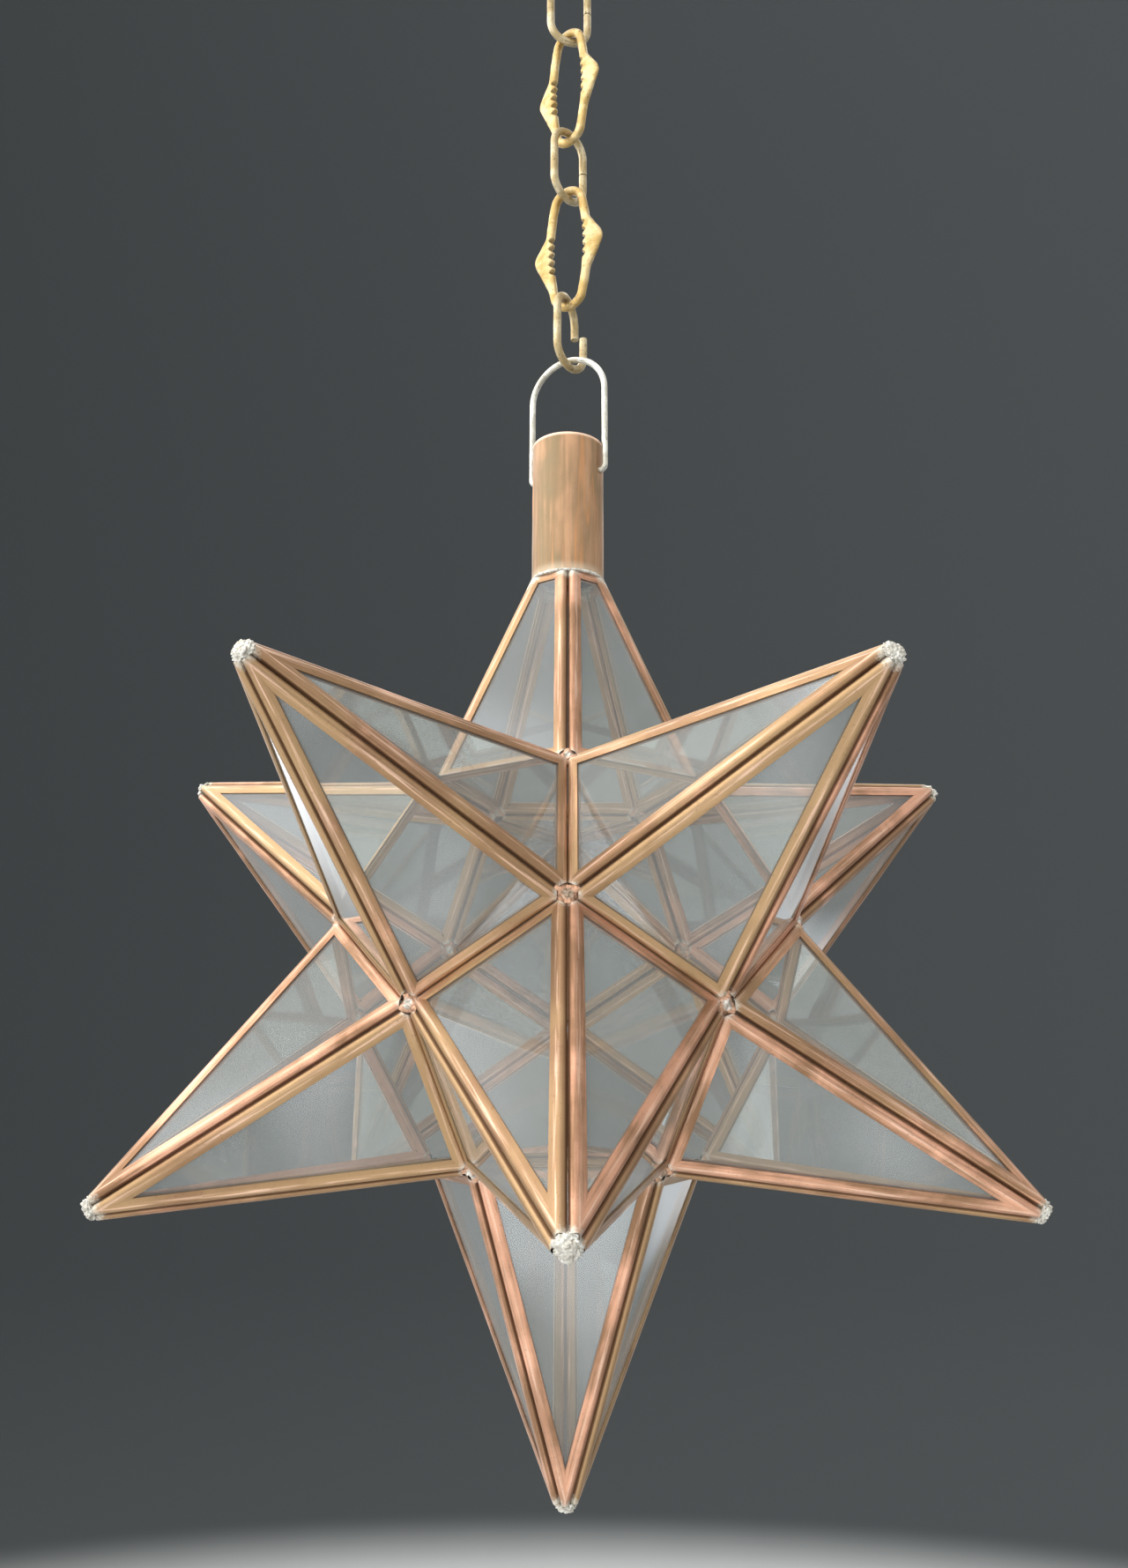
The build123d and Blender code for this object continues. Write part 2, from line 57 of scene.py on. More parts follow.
LINK_BOW = (LINK_WIDTH - LINK_WIRE) / 2
LINK_REACH = LINK_LENGTH / 2 - LINK_WIRE / 2
TOP_LINK_TURN = 18
MIDDLE_LINK_TURN = 44
ARC_STEPS = 24
WIRE_SIDES = 20
WAVER_SCALE = 160.0


def arc(centre, radius, start, sweep):
    """Points of an arc in the XZ plane, from a start angle through a sweep, in degrees."""
    angles = [radians(start + sweep * k / ARC_STEPS) for k in range(ARC_STEPS + 1)]
    return [Vector((centre[0] + radius * cos(a), 0, centre[1] + radius * sin(a))) for a in angles]


def put(tree, kind, sockets=None, **settings):
    """New node in a tree. Each socket takes a value or another node's output."""
    node = tree.nodes.new(kind)
    for name, value in settings.items():
        setattr(node, name, value)
    for name, value in (sockets or {}).items():
        if isinstance(value, bpy.types.NodeSocket):
            tree.links.new(value, node.inputs[name])
        else:
            node.inputs[name].default_value = value
    return node


def new_sockets(tree, way, kind, *names):
    """Named inputs or outputs of one kind on a tree."""
    for name in names:
        tree.interface.new_socket(name, in_out=way, socket_type="NodeSocket" + kind)


def close_tree(tree, geometry, finish, name):
    """End of a geometry tree: instances made real, the finish set, and the result put out by its name."""
    real = put(tree, "GeometryNodeRealizeInstances", {"Geometry": geometry})
    done = put(tree, "GeometryNodeSetMaterial", {"Geometry": real.outputs["Geometry"], "Material": finish})
    put(tree, "NodeGroupOutput", {name: done.outputs["Geometry"]})
    return tree


def wire_tree():
    """Geometry nodes that draw a wire along a path, a little uneven as bent by hand."""
    tree = bpy.data.node_groups.new("bent_wire", "GeometryNodeTree")
    new_sockets(tree, "INPUT", "Geometry", "Path")
    new_sockets(tree, "INPUT", "Float", "Wire Radius", "Spacing", "Unevenness")
    new_sockets(tree, "INPUT", "Material", "Finish")
    new_sockets(tree, "OUTPUT", "Geometry", "Wire")
    given = tree.nodes.new("NodeGroupInput").outputs
    steps = {"Curve": given["Path"], "Length": given["Spacing"]}
    even = put(tree, "GeometryNodeResampleCurve", steps, mode="LENGTH")
    waver = put(tree, "ShaderNodeTexNoise", {"Scale": WAVER_SCALE, "Detail": 1.0})
    about_zero = {0: waver.outputs["Color"], 1: (0.5, 0.5, 0.5)}
    centred = put(tree, "ShaderNodeVectorMath", about_zero, operation="SUBTRACT")
    sized = {0: centred.outputs[0], "Scale": given["Unevenness"]}
    shift = put(tree, "ShaderNodeVectorMath", sized, operation="SCALE")
    moving = {"Geometry": even.outputs["Curve"], "Offset": shift.outputs[0]}
    moved = put(tree, "GeometryNodeSetPosition", moving)
    round_section = {"Resolution": WIRE_SIDES, "Radius": given["Wire Radius"]}
    ring = put(tree, "GeometryNodeCurvePrimitiveCircle", round_section)
    drawing = {"Curve": moved.outputs["Geometry"], "Profile Curve": ring.outputs["Curve"]}
    drawn = put(tree, "GeometryNodeCurveToMesh", {**drawing, "Fill Caps": True})
    smooth = put(tree, "GeometryNodeSetShadeSmooth", {"Geometry": drawn.outputs["Mesh"]})
    return close_tree(tree, smooth.outputs["Geometry"], given["Finish"], "Wire")


def input_key(tree, name):
    """Identifier of a tree's named input."""
    return next(i.identifier for i in tree.interface.items_tree if i.name == name and i.in_out == "INPUT")


def new_piece(name, data):
    """Object that shows a mesh or a curve."""
    piece = bpy.data.objects.new(name, data)
    bpy.context.collection.objects.link(piece)
    return piece


def settled_mesh(source):
    """Plain mesh of an object with its modifiers applied. The object is then removed."""
    bpy.context.view_layer.update()
    deps = bpy.context.evaluated_depsgraph_get()
    mesh = bpy.data.meshes.new_from_object(source.evaluated_get(deps), depsgraph=deps)
    bpy.data.objects.remove(source)
    return mesh


def grown(name, source, tree, values):
    """Piece that a geometry tree makes from a source object."""
    modifier = source.modifiers.new(tree.name, "NODES")
    modifier.node_group = tree
    for key, value in values.items():
        modifier[input_key(tree, key)] = value
    mesh = settled_mesh(source)
    mesh.name = name
    return new_piece(name, mesh)


def bent_wire(name, points, place, wire, finish):
    """Wire piece along a path of points, which is put in its place first."""
    path = bpy.data.curves.new(name + "_path", "CURVE")
    path.dimensions = "3D"
    spline = path.splines.new("POLY")
    spline.points.add(len(points) - 1)
    for slot, point in zip(spline.points, points):
        slot.co = (*(place @ point), 1)
    values = {"Wire Radius": wire / 2, "Spacing": wire / 4, "Unevenness": wire / 24, "Finish": finish}
    return grown(name, new_piece(name + "_path", path), BENT_WIRE, values)


def turned(degrees, height):
    """Place of a piece on the hanging axis, turned about it."""
    return Matrix.Translation((0, 0, height)) @ Matrix.Rotation(radians(degrees), 4, "Z")


def node_middle(node):
    """Height of a CAD node's middle."""
    low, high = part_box(node)
    return (low.z + high.z) / 2


def blend(tree, share, first, second, how="MIX"):
    """Colour between two colours."""
    node = put(tree, "ShaderNodeMix", data_type="RGBA", blend_type=how)
    for index, value in ((0, share), (6, first), (7, second)):
        if isinstance(value, bpy.types.NodeSocket):
            tree.links.new(value, node.inputs[index])
        else:
            node.inputs[index].default_value = value if index == 0 else (*value, 1)
    return node.outputs[2]


def layered(tree, colour, *layers):
    """Colour under layers of other colours, each laid on by its share."""
    for share, over in layers:
        colour = blend(tree, share, colour, over)
    return colour


def ramp(tree, value, low, high, start=0.0, end=1.0):
    """Value eased from start to end while the input goes from low to high."""
    sockets = {"Value": value, "From Min": low, "From Max": high, "To Min": start, "To Max": end}
    return put(tree, "ShaderNodeMapRange", sockets, interpolation_type="SMOOTHSTEP").outputs["Result"]


def sum_of(tree, first, second, how="ADD"):
    """Two values added, or joined by another operation."""
    return put(tree, "ShaderNodeMath", {0: first, 1: second}, operation=how).outputs[0]


def product(tree, first, second):
    """Two values multiplied."""
    return sum_of(tree, first, second, "MULTIPLY")


def own_place(tree):
    """Object coordinates, in metres."""
    return tree.nodes.new("ShaderNodeTexCoord").outputs["Object"]


def noise_at(tree, where, scale, detail, distortion=0.0):
    """Noise value at a place."""
    sockets = {"Vector": where, "Scale": scale, "Detail": detail, "Distortion": distortion}
    return put(tree, "ShaderNodeTexNoise", sockets).outputs["Fac"]


def kept_value(tree, name):
    """Value that the mesh keeps at each point under a name."""
    return put(tree, "ShaderNodeAttribute", attribute_name=name).outputs["Fac"]


def new_finish(name, metallic, **constants):
    """Material with an empty node tree but for its shader and output."""
    finish = bpy.data.materials.new(name)
    finish.use_nodes = True
    tree = finish.node_tree
    tree.nodes.clear()
    shader = put(tree, "ShaderNodeBsdfPrincipled", {"Metallic": metallic, **constants})
    put(tree, "ShaderNodeOutputMaterial", {"Surface": shader.outputs["BSDF"]})
    return finish, tree, shader


def link_surface(tree, shader, colour, rough, height, strength, depth):
    """Colour, roughness and relief of a surface, linked to its shader."""
    relief = put(tree, "ShaderNodeBump", {"Height": height, "Strength": strength, "Distance": depth})
    tree.links.new(colour, shader.inputs["Base Color"])
    tree.links.new(rough, shader.inputs["Roughness"])
    tree.links.new(relief.outputs["Normal"], shader.inputs["Normal"])


def worn_skin_group():
    """Shader group: metal rubbed bright in patches, with tarnish specks, from Object coordinates."""
    group = bpy.data.node_groups.new("worn_skin", "ShaderNodeTree")
    new_sockets(group, "INPUT", "Color", "Metal", "Rubbed", "Tarnish")
    new_sockets(group, "INPUT", "Float", "Patch Scale", "Speck Scale", "Tarnish Share")
    new_sockets(group, "OUTPUT", "Color", "Color")
    new_sockets(group, "OUTPUT", "Float", "Roughness", "Height")
    given = group.nodes.new("NodeGroupInput").outputs
    where = own_place(group)
    patch = noise_at(group, where, given["Patch Scale"], 4.0)
    speck = noise_at(group, where, given["Speck Scale"], 6.0)
    bare = blend(group, ramp(group, patch, 0.42, 0.62), given["Metal"], given["Rubbed"])
    stain = ramp(group, sum_of(group, speck, given["Tarnish Share"]), 0.62, 0.86)
    dirty = blend(group, stain, bare, given["Tarnish"])
    rough = sum_of(group, ramp(group, patch, 0.3, 0.7, 0.52, 0.34), product(group, stain, 0.2))
    height = sum_of(group, product(group, patch, 0.4), speck)
    put(group, "NodeGroupOutput", {"Color": dirty, "Roughness": rough, "Height": height})
    return group


def skin_finish(
    name, metal, rubbed, tarnish, patches, specks, share, depth, metallic=0.85, older=None, rim=None
):
    """Worn skin of one metal. Lumps can also take an older colour by their age, and another at the rim."""
    finish, tree, shader = new_finish(name, metallic)
    colours = {"Metal": (*metal, 1), "Rubbed": (*rubbed, 1), "Tarnish": (*tarnish, 1)}
    sizes = {"Patch Scale": patches, "Speck Scale": specks, "Tarnish Share": share}
    skin = put(tree, "ShaderNodeGroup", {**colours, **sizes}, node_tree=WORN_SKIN)
    colour, height = skin.outputs["Color"], skin.outputs["Height"]
    if older:
        aged = ramp(tree, kept_value(tree, "age"), 0.35, 0.95, 0.0, 0.85)
        colour = blend(tree, aged, colour, older)
    if rim:
        ragged = sum_of(tree, kept_value(tree, "rim"), product(tree, height, 0.6))
        colour = blend(tree, ramp(tree, ragged, 0.72, 1.05), colour, rim)
    link_surface(tree, shader, colour, skin.outputs["Roughness"], height, 0.5, depth)
    return finish


BENT_WIRE = wire_tree()
WORN_SKIN = worn_skin_group()
PALE_BRASS = skin_finish(
    "pale_worn_brass",
    metal=(0.38, 0.285, 0.145),
    rubbed=(0.50, 0.41, 0.255),
    tarnish=(0.12, 0.08, 0.03),
    patches=140,
    specks=900,
    share=0.08,
    depth=0.0002,
)
link_path = (
    [Vector((LINK_BOW, 0, LINK_SEAM / 2))]
    + arc((0, LINK_REACH - LINK_BOW), LINK_BOW, 0, 180)
    + arc((0, LINK_BOW - LINK_REACH), LINK_BOW, 180, 180)
    + [Vector((LINK_BOW, 0, -LINK_SEAM / 2))]
)
for node, body, turn in (
    ("top_plain_link", "top_link", TOP_LINK_TURN),
    ("middle_plain_link", "middle_link", MIDDLE_LINK_TURN),
):
    link = bent_wire(node + "_wire", link_path, turned(turn, node_middle(node)), LINK_WIRE, PALE_BRASS)
    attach(link, body)
    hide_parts(node)


# Ornamental links, cast in brass. Each is an oval band with a lopsided leaf on either side, and its inner
# edge is notched into teeth beside the leaf. The casting is left as it came from the mould, golden and a
# little rough.
ORNAMENT_LENGTH = 0.058
ORNAMENT_OPENING = 0.0136
ORNAMENT_END_RADIUS = 0.0045
ORNAMENT_BAND = 0.0036
ORNAMENT_THICKNESS = 0.0032
LEAF_REACH = 0.0064
LEAF_RISE = 0.0022
LEAF_STEEP = 0.013
LEAF_GENTLE = 0.018
LEAF_ROUND = 0.0022
LEAF_THICKNESS = 0.0026
VEIN_DEPTH = 0.16
VEIN_RATE = 1500
NOTCHES = 5
NOTCH_DEPTH = 0.0022
NOTCH_WIDTH = 0.0014
NOTCH_PITCH = 0.0038
UPPER_ORNAMENT_TURN = -37
LOWER_ORNAMENT_TURN = -27
BAND_STATIONS = 460
BAND_SIDES = 28
MOULD_SEED = 1
BAND_FULLNESS = 0.8
MOULD_GRAIN = 260
MOULD_ROUGHNESS = 0.00012
MOULD_STEP = 7.3


def oval_points(half_width, half_length, end_radius, count):
    """Point and outward direction at even steps along an oval of four arcs, from the right side upwards."""
    end = half_length - end_radius
    side = (half_width**2 + end**2 - end_radius**2) / (2 * (half_width - end_radius))
    lean = atan2(end, side - half_width)
    arcs = [
        ((half_width - side, 0), side, -lean, lean),
        ((0, end), end_radius, lean, pi - lean),
        ((side - half_width, 0), side, pi - lean, pi + lean),
        ((0, -end), end_radius, pi + lean, 2 * pi - lean),
    ]
    total = sum(radius * (stop - start) for middle, radius, start, stop in arcs)
    points = []
    for k in range(count):
        left = total * k / count
        for middle, radius, start, stop in arcs:
            length = radius * (stop - start)
            if left <= length:
                break
            left -= length
        angle = start + left / radius
        out = Vector((cos(angle), 0, sin(angle)))
        points.append((Vector((middle[0], 0, middle[1])) + out * radius, out))
    return points


def leaf_reach(point, out):
    """How far the leaf stands out past the band at a point of it. The left leaf sits lower."""
    root = ORNAMENT_OPENING / 2 + ORNAMENT_BAND / 4
    tip = ORNAMENT_OPENING / 2 + ORNAMENT_BAND + LEAF_REACH
    above = point.z - copysign(LEAF_RISE, point.x)
    upper = tip - (tip - root) * above / LEAF_STEEP
    lower = tip + (tip - root) * above / LEAF_GENTLE
    outline = (upper + lower - hypot(upper - lower, LEAF_ROUND)) / 2
    past = min(outline - root, outline - abs(point.x) - abs(out.x) * ORNAMENT_BAND / 2)
    return max(0.0, (past + hypot(past, LEAF_ROUND / 4)) / 2 - LEAF_ROUND / 24)


def notch_depth(point):
    """Depth of the notches between the teeth of the inner edge at a point of the band."""
    depth = 0.0
    for k in range(NOTCHES):
        middle = copysign(LEAF_RISE, point.x) + (k - (NOTCHES - 1) / 2) * NOTCH_PITCH
        depth = max(depth, NOTCH_DEPTH * (1 - abs(point.z - middle) / NOTCH_WIDTH))
    return depth


def mesh_from(name, shape):
    """Mesh of a finished shape, which is then freed."""
    mesh = bpy.data.meshes.new(name)
    shape.to_mesh(mesh)
    shape.free()
    return mesh


def ornament_mesh(name, place, seed):
    """Cast link as one closed band whose section changes along it."""
    half_band = ORNAMENT_BAND / 2
    path = oval_points(
        ORNAMENT_OPENING / 2 + half_band,
        ORNAMENT_LENGTH / 2 - half_band,
        ORNAMENT_END_RADIUS + half_band,
        BAND_STATIONS,
    )
    shape = bmesh.new()
    rings = []
    for point, out in path:
        leaf = leaf_reach(point, out)
        inner = half_band - notch_depth(point)
        ring = []
        for k in range(BAND_SIDES):
            angle = 2 * pi * k / BAND_SIDES
            reach, rise = cos(angle), sin(angle)
            if reach > 0:
                across = out * reach * (half_band + leaf)
                thinner = reach * leaf / LEAF_REACH
                flat = ORNAMENT_THICKNESS / 2 * (1 - thinner) + LEAF_THICKNESS / 2 * thinner
                vein = 1 + VEIN_DEPTH * thinner * cos(point.z * VEIN_RATE)
            else:
                across = out * reach * inner
                flat, vein = ORNAMENT_THICKNESS / 2, 1.0
            full = copysign(abs(rise) ** BAND_FULLNESS, rise)
            spot = point + across + Vector((0, full * flat * vein, 0))
            spot += noise.noise_vector(spot * MOULD_GRAIN + Vector((seed, 0, 0))) * MOULD_ROUGHNESS
            ring.append(shape.verts.new(place @ spot))
        rings.append(ring)
    for first, second in zip(rings, rings[1:] + rings[:1]):
        for k in range(BAND_SIDES):
            after = (k + 1) % BAND_SIDES
            shape.faces.new((first[k], first[after], second[after], second[k])).smooth = True
    bmesh.ops.recalc_face_normals(shape, faces=shape.faces)
    return mesh_from(name, shape)


CAST_BRASS = skin_finish(
    "golden_cast_brass",
    metal=(0.45, 0.30, 0.11),
    rubbed=(0.56, 0.42, 0.21),
    tarnish=(0.18, 0.11, 0.04),
    patches=160,
    specks=700,
    share=0.05,
    depth=0.0005,
)
noise.seed_set(MOULD_SEED)
for seed, (node, body, turn) in enumerate(
    (
        ("upper_ornamental_link", "upper_ornament", UPPER_ORNAMENT_TURN),
        ("lower_ornamental_link", "lower_ornament", LOWER_ORNAMENT_TURN),
    )
):
    mesh = ornament_mesh(node + "_casting", turned(turn, node_middle(node)), seed * MOULD_STEP)
    mesh.materials.append(CAST_BRASS)
    link = new_piece(node + "_casting", mesh)
    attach(link, body)
    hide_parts(node)


# Open link, the same bent wire as the plain links, sprung open sideways so that the bail could be hooked
# in. Its two bows are turned apart about the closed side.
OPEN_LINK_TURN = 58
OPEN_LINK_SPREAD = 0.0042
OPEN_LINK_DROP = 0.0165
OPEN_LINK_SLIT = 0.001
half_spread = asin(OPEN_LINK_SPREAD / (4 * LINK_BOW))
closed_side = Matrix.Translation((-LINK_BOW, 0, 0))
cut = LINK_LENGTH / 2 - OPEN_LINK_DROP
upper_bow = [Vector((2 * LINK_BOW, 0, cut + OPEN_LINK_SLIT / 2))]
upper_bow += arc((LINK_BOW, LINK_REACH - LINK_BOW), LINK_BOW, 0, 180)
lower_bow = arc((LINK_BOW, LINK_BOW - LINK_REACH), LINK_BOW, 180, 180)
lower_bow += [Vector((2 * LINK_BOW, 0, cut - OPEN_LINK_SLIT / 2))]
open_path = [closed_side @ Matrix.Rotation(half_spread, 4, "Z") @ p for p in upper_bow]
open_path += [closed_side @ Matrix.Rotation(-half_spread, 4, "Z") @ p for p in lower_bow]
open_place = turned(OPEN_LINK_TURN, node_middle("open_link"))
open_link = bent_wire("open_link_wire", open_path, open_place, LINK_WIRE, PALE_BRASS)
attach(open_link, "sprung_link")
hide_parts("open_link")


# Bail, one length of tinned wire bent into a bow. Its ends turn in through the two holes in the neck tube,
# so the lamp can swing on them.
BAIL_WIRE = 0.0024
BAIL_HEIGHT = 0.0515
BAIL_STAND_OFF = 0.001
BAIL_BEND = 0.002
BAIL_TAIL = 0.0022
BAIL_TURN = -27
TUBE_RADIUS = 0.014
TUBE_WALL = 0.001
PIVOT_Z = next(j["pos_m"][2] for j in frame["joints"] if j["name"] == "star_swing")
leg = TUBE_RADIUS + BAIL_STAND_OFF + BAIL_WIRE / 2
tail = TUBE_RADIUS - TUBE_WALL - BAIL_TAIL
shoulder = BAIL_HEIGHT - leg
bail_path = (
    [Vector((tail, 0, 0))]
    + arc((leg - BAIL_BEND, BAIL_BEND), BAIL_BEND, -90, 90)
    + arc((0, shoulder), leg, 0, 180)
    + arc((BAIL_BEND - leg, BAIL_BEND), BAIL_BEND, 180, 90)
    + [Vector((-tail, 0, 0))]
)
TINNED_WIRE = skin_finish(
    "tinned_wire",
    metal=(0.50, 0.47, 0.39),
    rubbed=(0.68, 0.66, 0.58),
    tarnish=(0.16, 0.12, 0.07),
    patches=120,
    specks=800,
    share=0.07,
    depth=0.00015,
)
bail = bent_wire("wire_bail_bow", bail_path, turned(BAIL_TURN, PIVOT_Z), BAIL_WIRE, TINNED_WIRE)
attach(bail, "bail")
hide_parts("wire_bail")


# Neck tube, a short length of drawn copper tube with a hole in each side for the bail. Its patina has worn
# and run in streaks, and it is paler at its top edge.
TUBE_SEGMENTS = 144
TUBE_RINGS = 40
TUBE_CREASE = 40
DENT_RATE = 55
DENT_DEPTH = 0.00012
RIM_ROUND = 0.00035
RIM_STEP = 15
HOLE_CLEARANCE = 0.00008
HOLE_RADIUS = BAIL_WIRE / 2 + HOLE_CLEARANCE
HOLE_SEGMENTS = 32
TUBE_COPPER = (0.46, 0.26, 0.14)
TUBE_AGED = (0.25, 0.16, 0.085)
TUBE_OLIVE = (0.24, 0.18, 0.10)
TUBE_FLUSH = (0.58, 0.26, 0.10)
TUBE_PITS = (0.16, 0.09, 0.04)
TUBE_TOP_EDGE_PALE = (0.90, 0.62, 0.44)
TUBE_STAIN = (0.62, 0.50, 0.36)
TUBE_STREAKS = (260.0, 260.0, 14.0)
TUBE_BLOTCHES = (64.0, 64.0, 30.0)
TUBE_PIT_SCALE = 1500.0
BRIGHT_FROM = 0.0016
BRIGHT_TO = 0.0002
FOOT_STAIN = 0.004
tube_low, tube_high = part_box("neck_tube")


def revolved_mesh(name, outline, segments):
    """Closed ring about the hanging axis from a closed outline of radius and height pairs."""
    shape = bmesh.new()
    rings = []
    for k in range(segments):
        angle = 2 * pi * k / segments
        rings.append([shape.verts.new((r * cos(angle), r * sin(angle), z)) for r, z in outline])
    for first, second in zip(rings, rings[1:] + rings[:1]):
        for k in range(len(outline)):
            after = (k + 1) % len(outline)
            shape.faces.new((first[k], second[k], second[after], first[after]))
    bmesh.ops.recalc_face_normals(shape, faces=shape.faces)
    return mesh_from(name, shape)


def tube_outline():
    """Section of the tube's wall, with its top edge rounded."""
    bore = TUBE_RADIUS - TUBE_WALL
    straight = tube_high.z - tube_low.z - 2 * RIM_ROUND
    heights = [tube_low.z + RIM_ROUND + straight * k / TUBE_RINGS for k in range(TUBE_RINGS + 1)]
    rim = [radians(RIM_STEP * k) for k in range(1, 90 // RIM_STEP)]
    outer = [(TUBE_RADIUS, z) for z in heights]
    over = [(RIM_ROUND * (1 - cos(a)), heights[-1] + RIM_ROUND * sin(a)) for a in rim]
    top = [(TUBE_RADIUS - inwards, z) for inwards, z in over]
    top += [(bore + inwards, z) for inwards, z in reversed(over)]
    inner = [(bore, z) for z in (heights[-1], heights[0])]
    foot = [(bore, tube_low.z), (TUBE_RADIUS, tube_low.z)]
    return outer + top + inner + foot


def stretched(tree, where, scale):
    """Coordinates with their own scale along each axis."""
    return put(tree, "ShaderNodeMapping", {"Vector": where, "Scale": scale}).outputs[0]


def streaked_copper():
    """Copper with patina that has run down in streaks, from Object coordinates."""
    finish, tree, shader = new_finish("streaked_copper", 0.7)
    where = own_place(tree)
    height = put(tree, "ShaderNodeSeparateXYZ", {"Vector": where}).outputs["Z"]
    streak = noise_at(tree, stretched(tree, where, TUBE_STREAKS), 1.0, 5.0, 0.6)
    blotch = noise_at(tree, stretched(tree, where, TUBE_BLOTCHES), 1.0, 3.0, 0.4)
    speck = noise_at(tree, where, TUBE_PIT_SCALE, 4.0)
    run = sum_of(tree, product(tree, streak, 0.45), product(tree, blotch, 0.55))
    # Paler colour and lower roughness towards the tube's top edge.
    edge = ramp(tree, height, tube_high.z - BRIGHT_FROM, tube_high.z - BRIGHT_TO)
    foot = ramp(tree, height, tube_low.z + FOOT_STAIN, tube_low.z)
    colour = layered(
        tree,
        TUBE_COPPER,
        (ramp(tree, run, 0.36, 0.58), TUBE_AGED),
        (ramp(tree, blotch, 0.52, 0.74, 0.0, 0.6), TUBE_OLIVE),
        (ramp(tree, streak, 0.54, 0.68, 0.0, 0.75), TUBE_FLUSH),
        (ramp(tree, speck, 0.62, 0.80, 0.0, 0.5), TUBE_PITS),
        (edge, TUBE_TOP_EDGE_PALE),
        (product(tree, foot, streak), TUBE_STAIN),
    )
    rough = sum_of(tree, ramp(tree, run, 0.3, 0.65, 0.38, 0.54), product(tree, edge, -0.08))
    relief = sum_of(tree, product(tree, streak, 0.6), speck)
    link_surface(tree, shader, colour, rough, relief, 0.25, 0.0003)
    return finish


def smoothed(mesh, finish, crease):
    """Mesh in one finish, smooth but for edges that turn by more than a crease, in degrees."""
    mesh.materials.clear()
    mesh.materials.append(finish)
    mesh.shade_smooth()
    mesh.set_sharp_from_angle(angle=radians(crease))
    return mesh


STREAKED_COPPER = streaked_copper()
blank_mesh = revolved_mesh("neck_tube_blank", tube_outline(), TUBE_SEGMENTS)
for vert in blank_mesh.vertices:
    out = Vector((vert.co.x, vert.co.y, 0)).normalized()
    vert.co += out * noise.noise(vert.co * DENT_RATE) * DENT_DEPTH
blank = new_piece("neck_tube_blank", blank_mesh)
drill_shape = bmesh.new()
bmesh.ops.create_cone(
    drill_shape,
    cap_ends=True,
    segments=HOLE_SEGMENTS,
    radius1=HOLE_RADIUS,
    radius2=HOLE_RADIUS,
    depth=4 * TUBE_RADIUS,
    matrix=turned(BAIL_TURN, PIVOT_Z) @ Matrix.Rotation(pi / 2, 4, "Y"),
)
drill = new_piece("bail_hole_drill", mesh_from("bail_hole_drill", drill_shape))
holes = blank.modifiers.new("bail_holes", "BOOLEAN")
holes.operation = "DIFFERENCE"
holes.object = drill
holes.solver = "EXACT"
tube = new_piece("neck_tube_copper", smoothed(settled_mesh(blank), STREAKED_COPPER, TUBE_CREASE))
bpy.data.objects.remove(drill)
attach(tube, "star")
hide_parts("neck_tube")


# Neck cap, cord nipple and its nuts, which carry the lampholder in the tube. The cap is pressed from sheet
# copper, and the nipple and nuts are zinc-plated steel.
ZINC = skin_finish(
    "zinc_plate",
    metal=(0.56, 0.55, 0.52),
    rubbed=(0.70, 0.69, 0.65),
    tarnish=(0.24, 0.20, 0.15),
    patches=150,
    specks=900,
    share=0.05,
    depth=0.0002,
)
for node, finish in (("neck_cap", STREAKED_COPPER), ("cord_nipple", ZINC), ("nipple_nuts", ZINC)):
    frame["nodes"][node].material_slots[0].material = finish


# Lampholder inside the tube: a black moulded sleeve and cap, a porcelain insert, and a brass screw shell,
# contact and terminals. Only its mouth shows, from below through the neck's glass.
def moulded_finish(name, colour, pale, roughness):
    """Gloss moulding with faint mottling and fine orange peel."""
    finish, tree, shader = new_finish(name, 0.0)
    where = own_place(tree)
    mottle = noise_at(tree, where, 260.0, 4.0)
    peel = noise_at(tree, where, 1400.0, 2.0)
    mottled = blend(tree, mottle, colour, pale)
    rough = ramp(tree, mottle, 0.3, 0.7, roughness, roughness + 0.15)
    link_surface(tree, shader, mottled, rough, peel, 0.2, 0.0002)
    return finish


PHENOLIC = moulded_finish("black_phenolic", (0.012, 0.011, 0.010), (0.030, 0.027, 0.024), 0.28)
PORCELAIN = moulded_finish("porcelain", (0.80, 0.78, 0.72), (0.88, 0.86, 0.80), 0.16)
SHELL_BRASS = skin_finish(
    "shell_brass",
    metal=(0.70, 0.50, 0.22),
    rubbed=(0.82, 0.66, 0.38),
    tarnish=(0.20, 0.13, 0.05),
    patches=200,
    specks=900,
    share=0.04,
    depth=0.0002,
)
for node, finish in (
    ("lampholder_sleeve", PHENOLIC),
    ("lampholder_cap", PHENOLIC),
    ("lampholder_insert", PORCELAIN),
    ("lampholder_screw_shell", SHELL_BRASS),
    ("lampholder_contact", SHELL_BRASS),
    ("lampholder_terminals", SHELL_BRASS),
):
    frame["nodes"][node].material_slots[0].material = finish


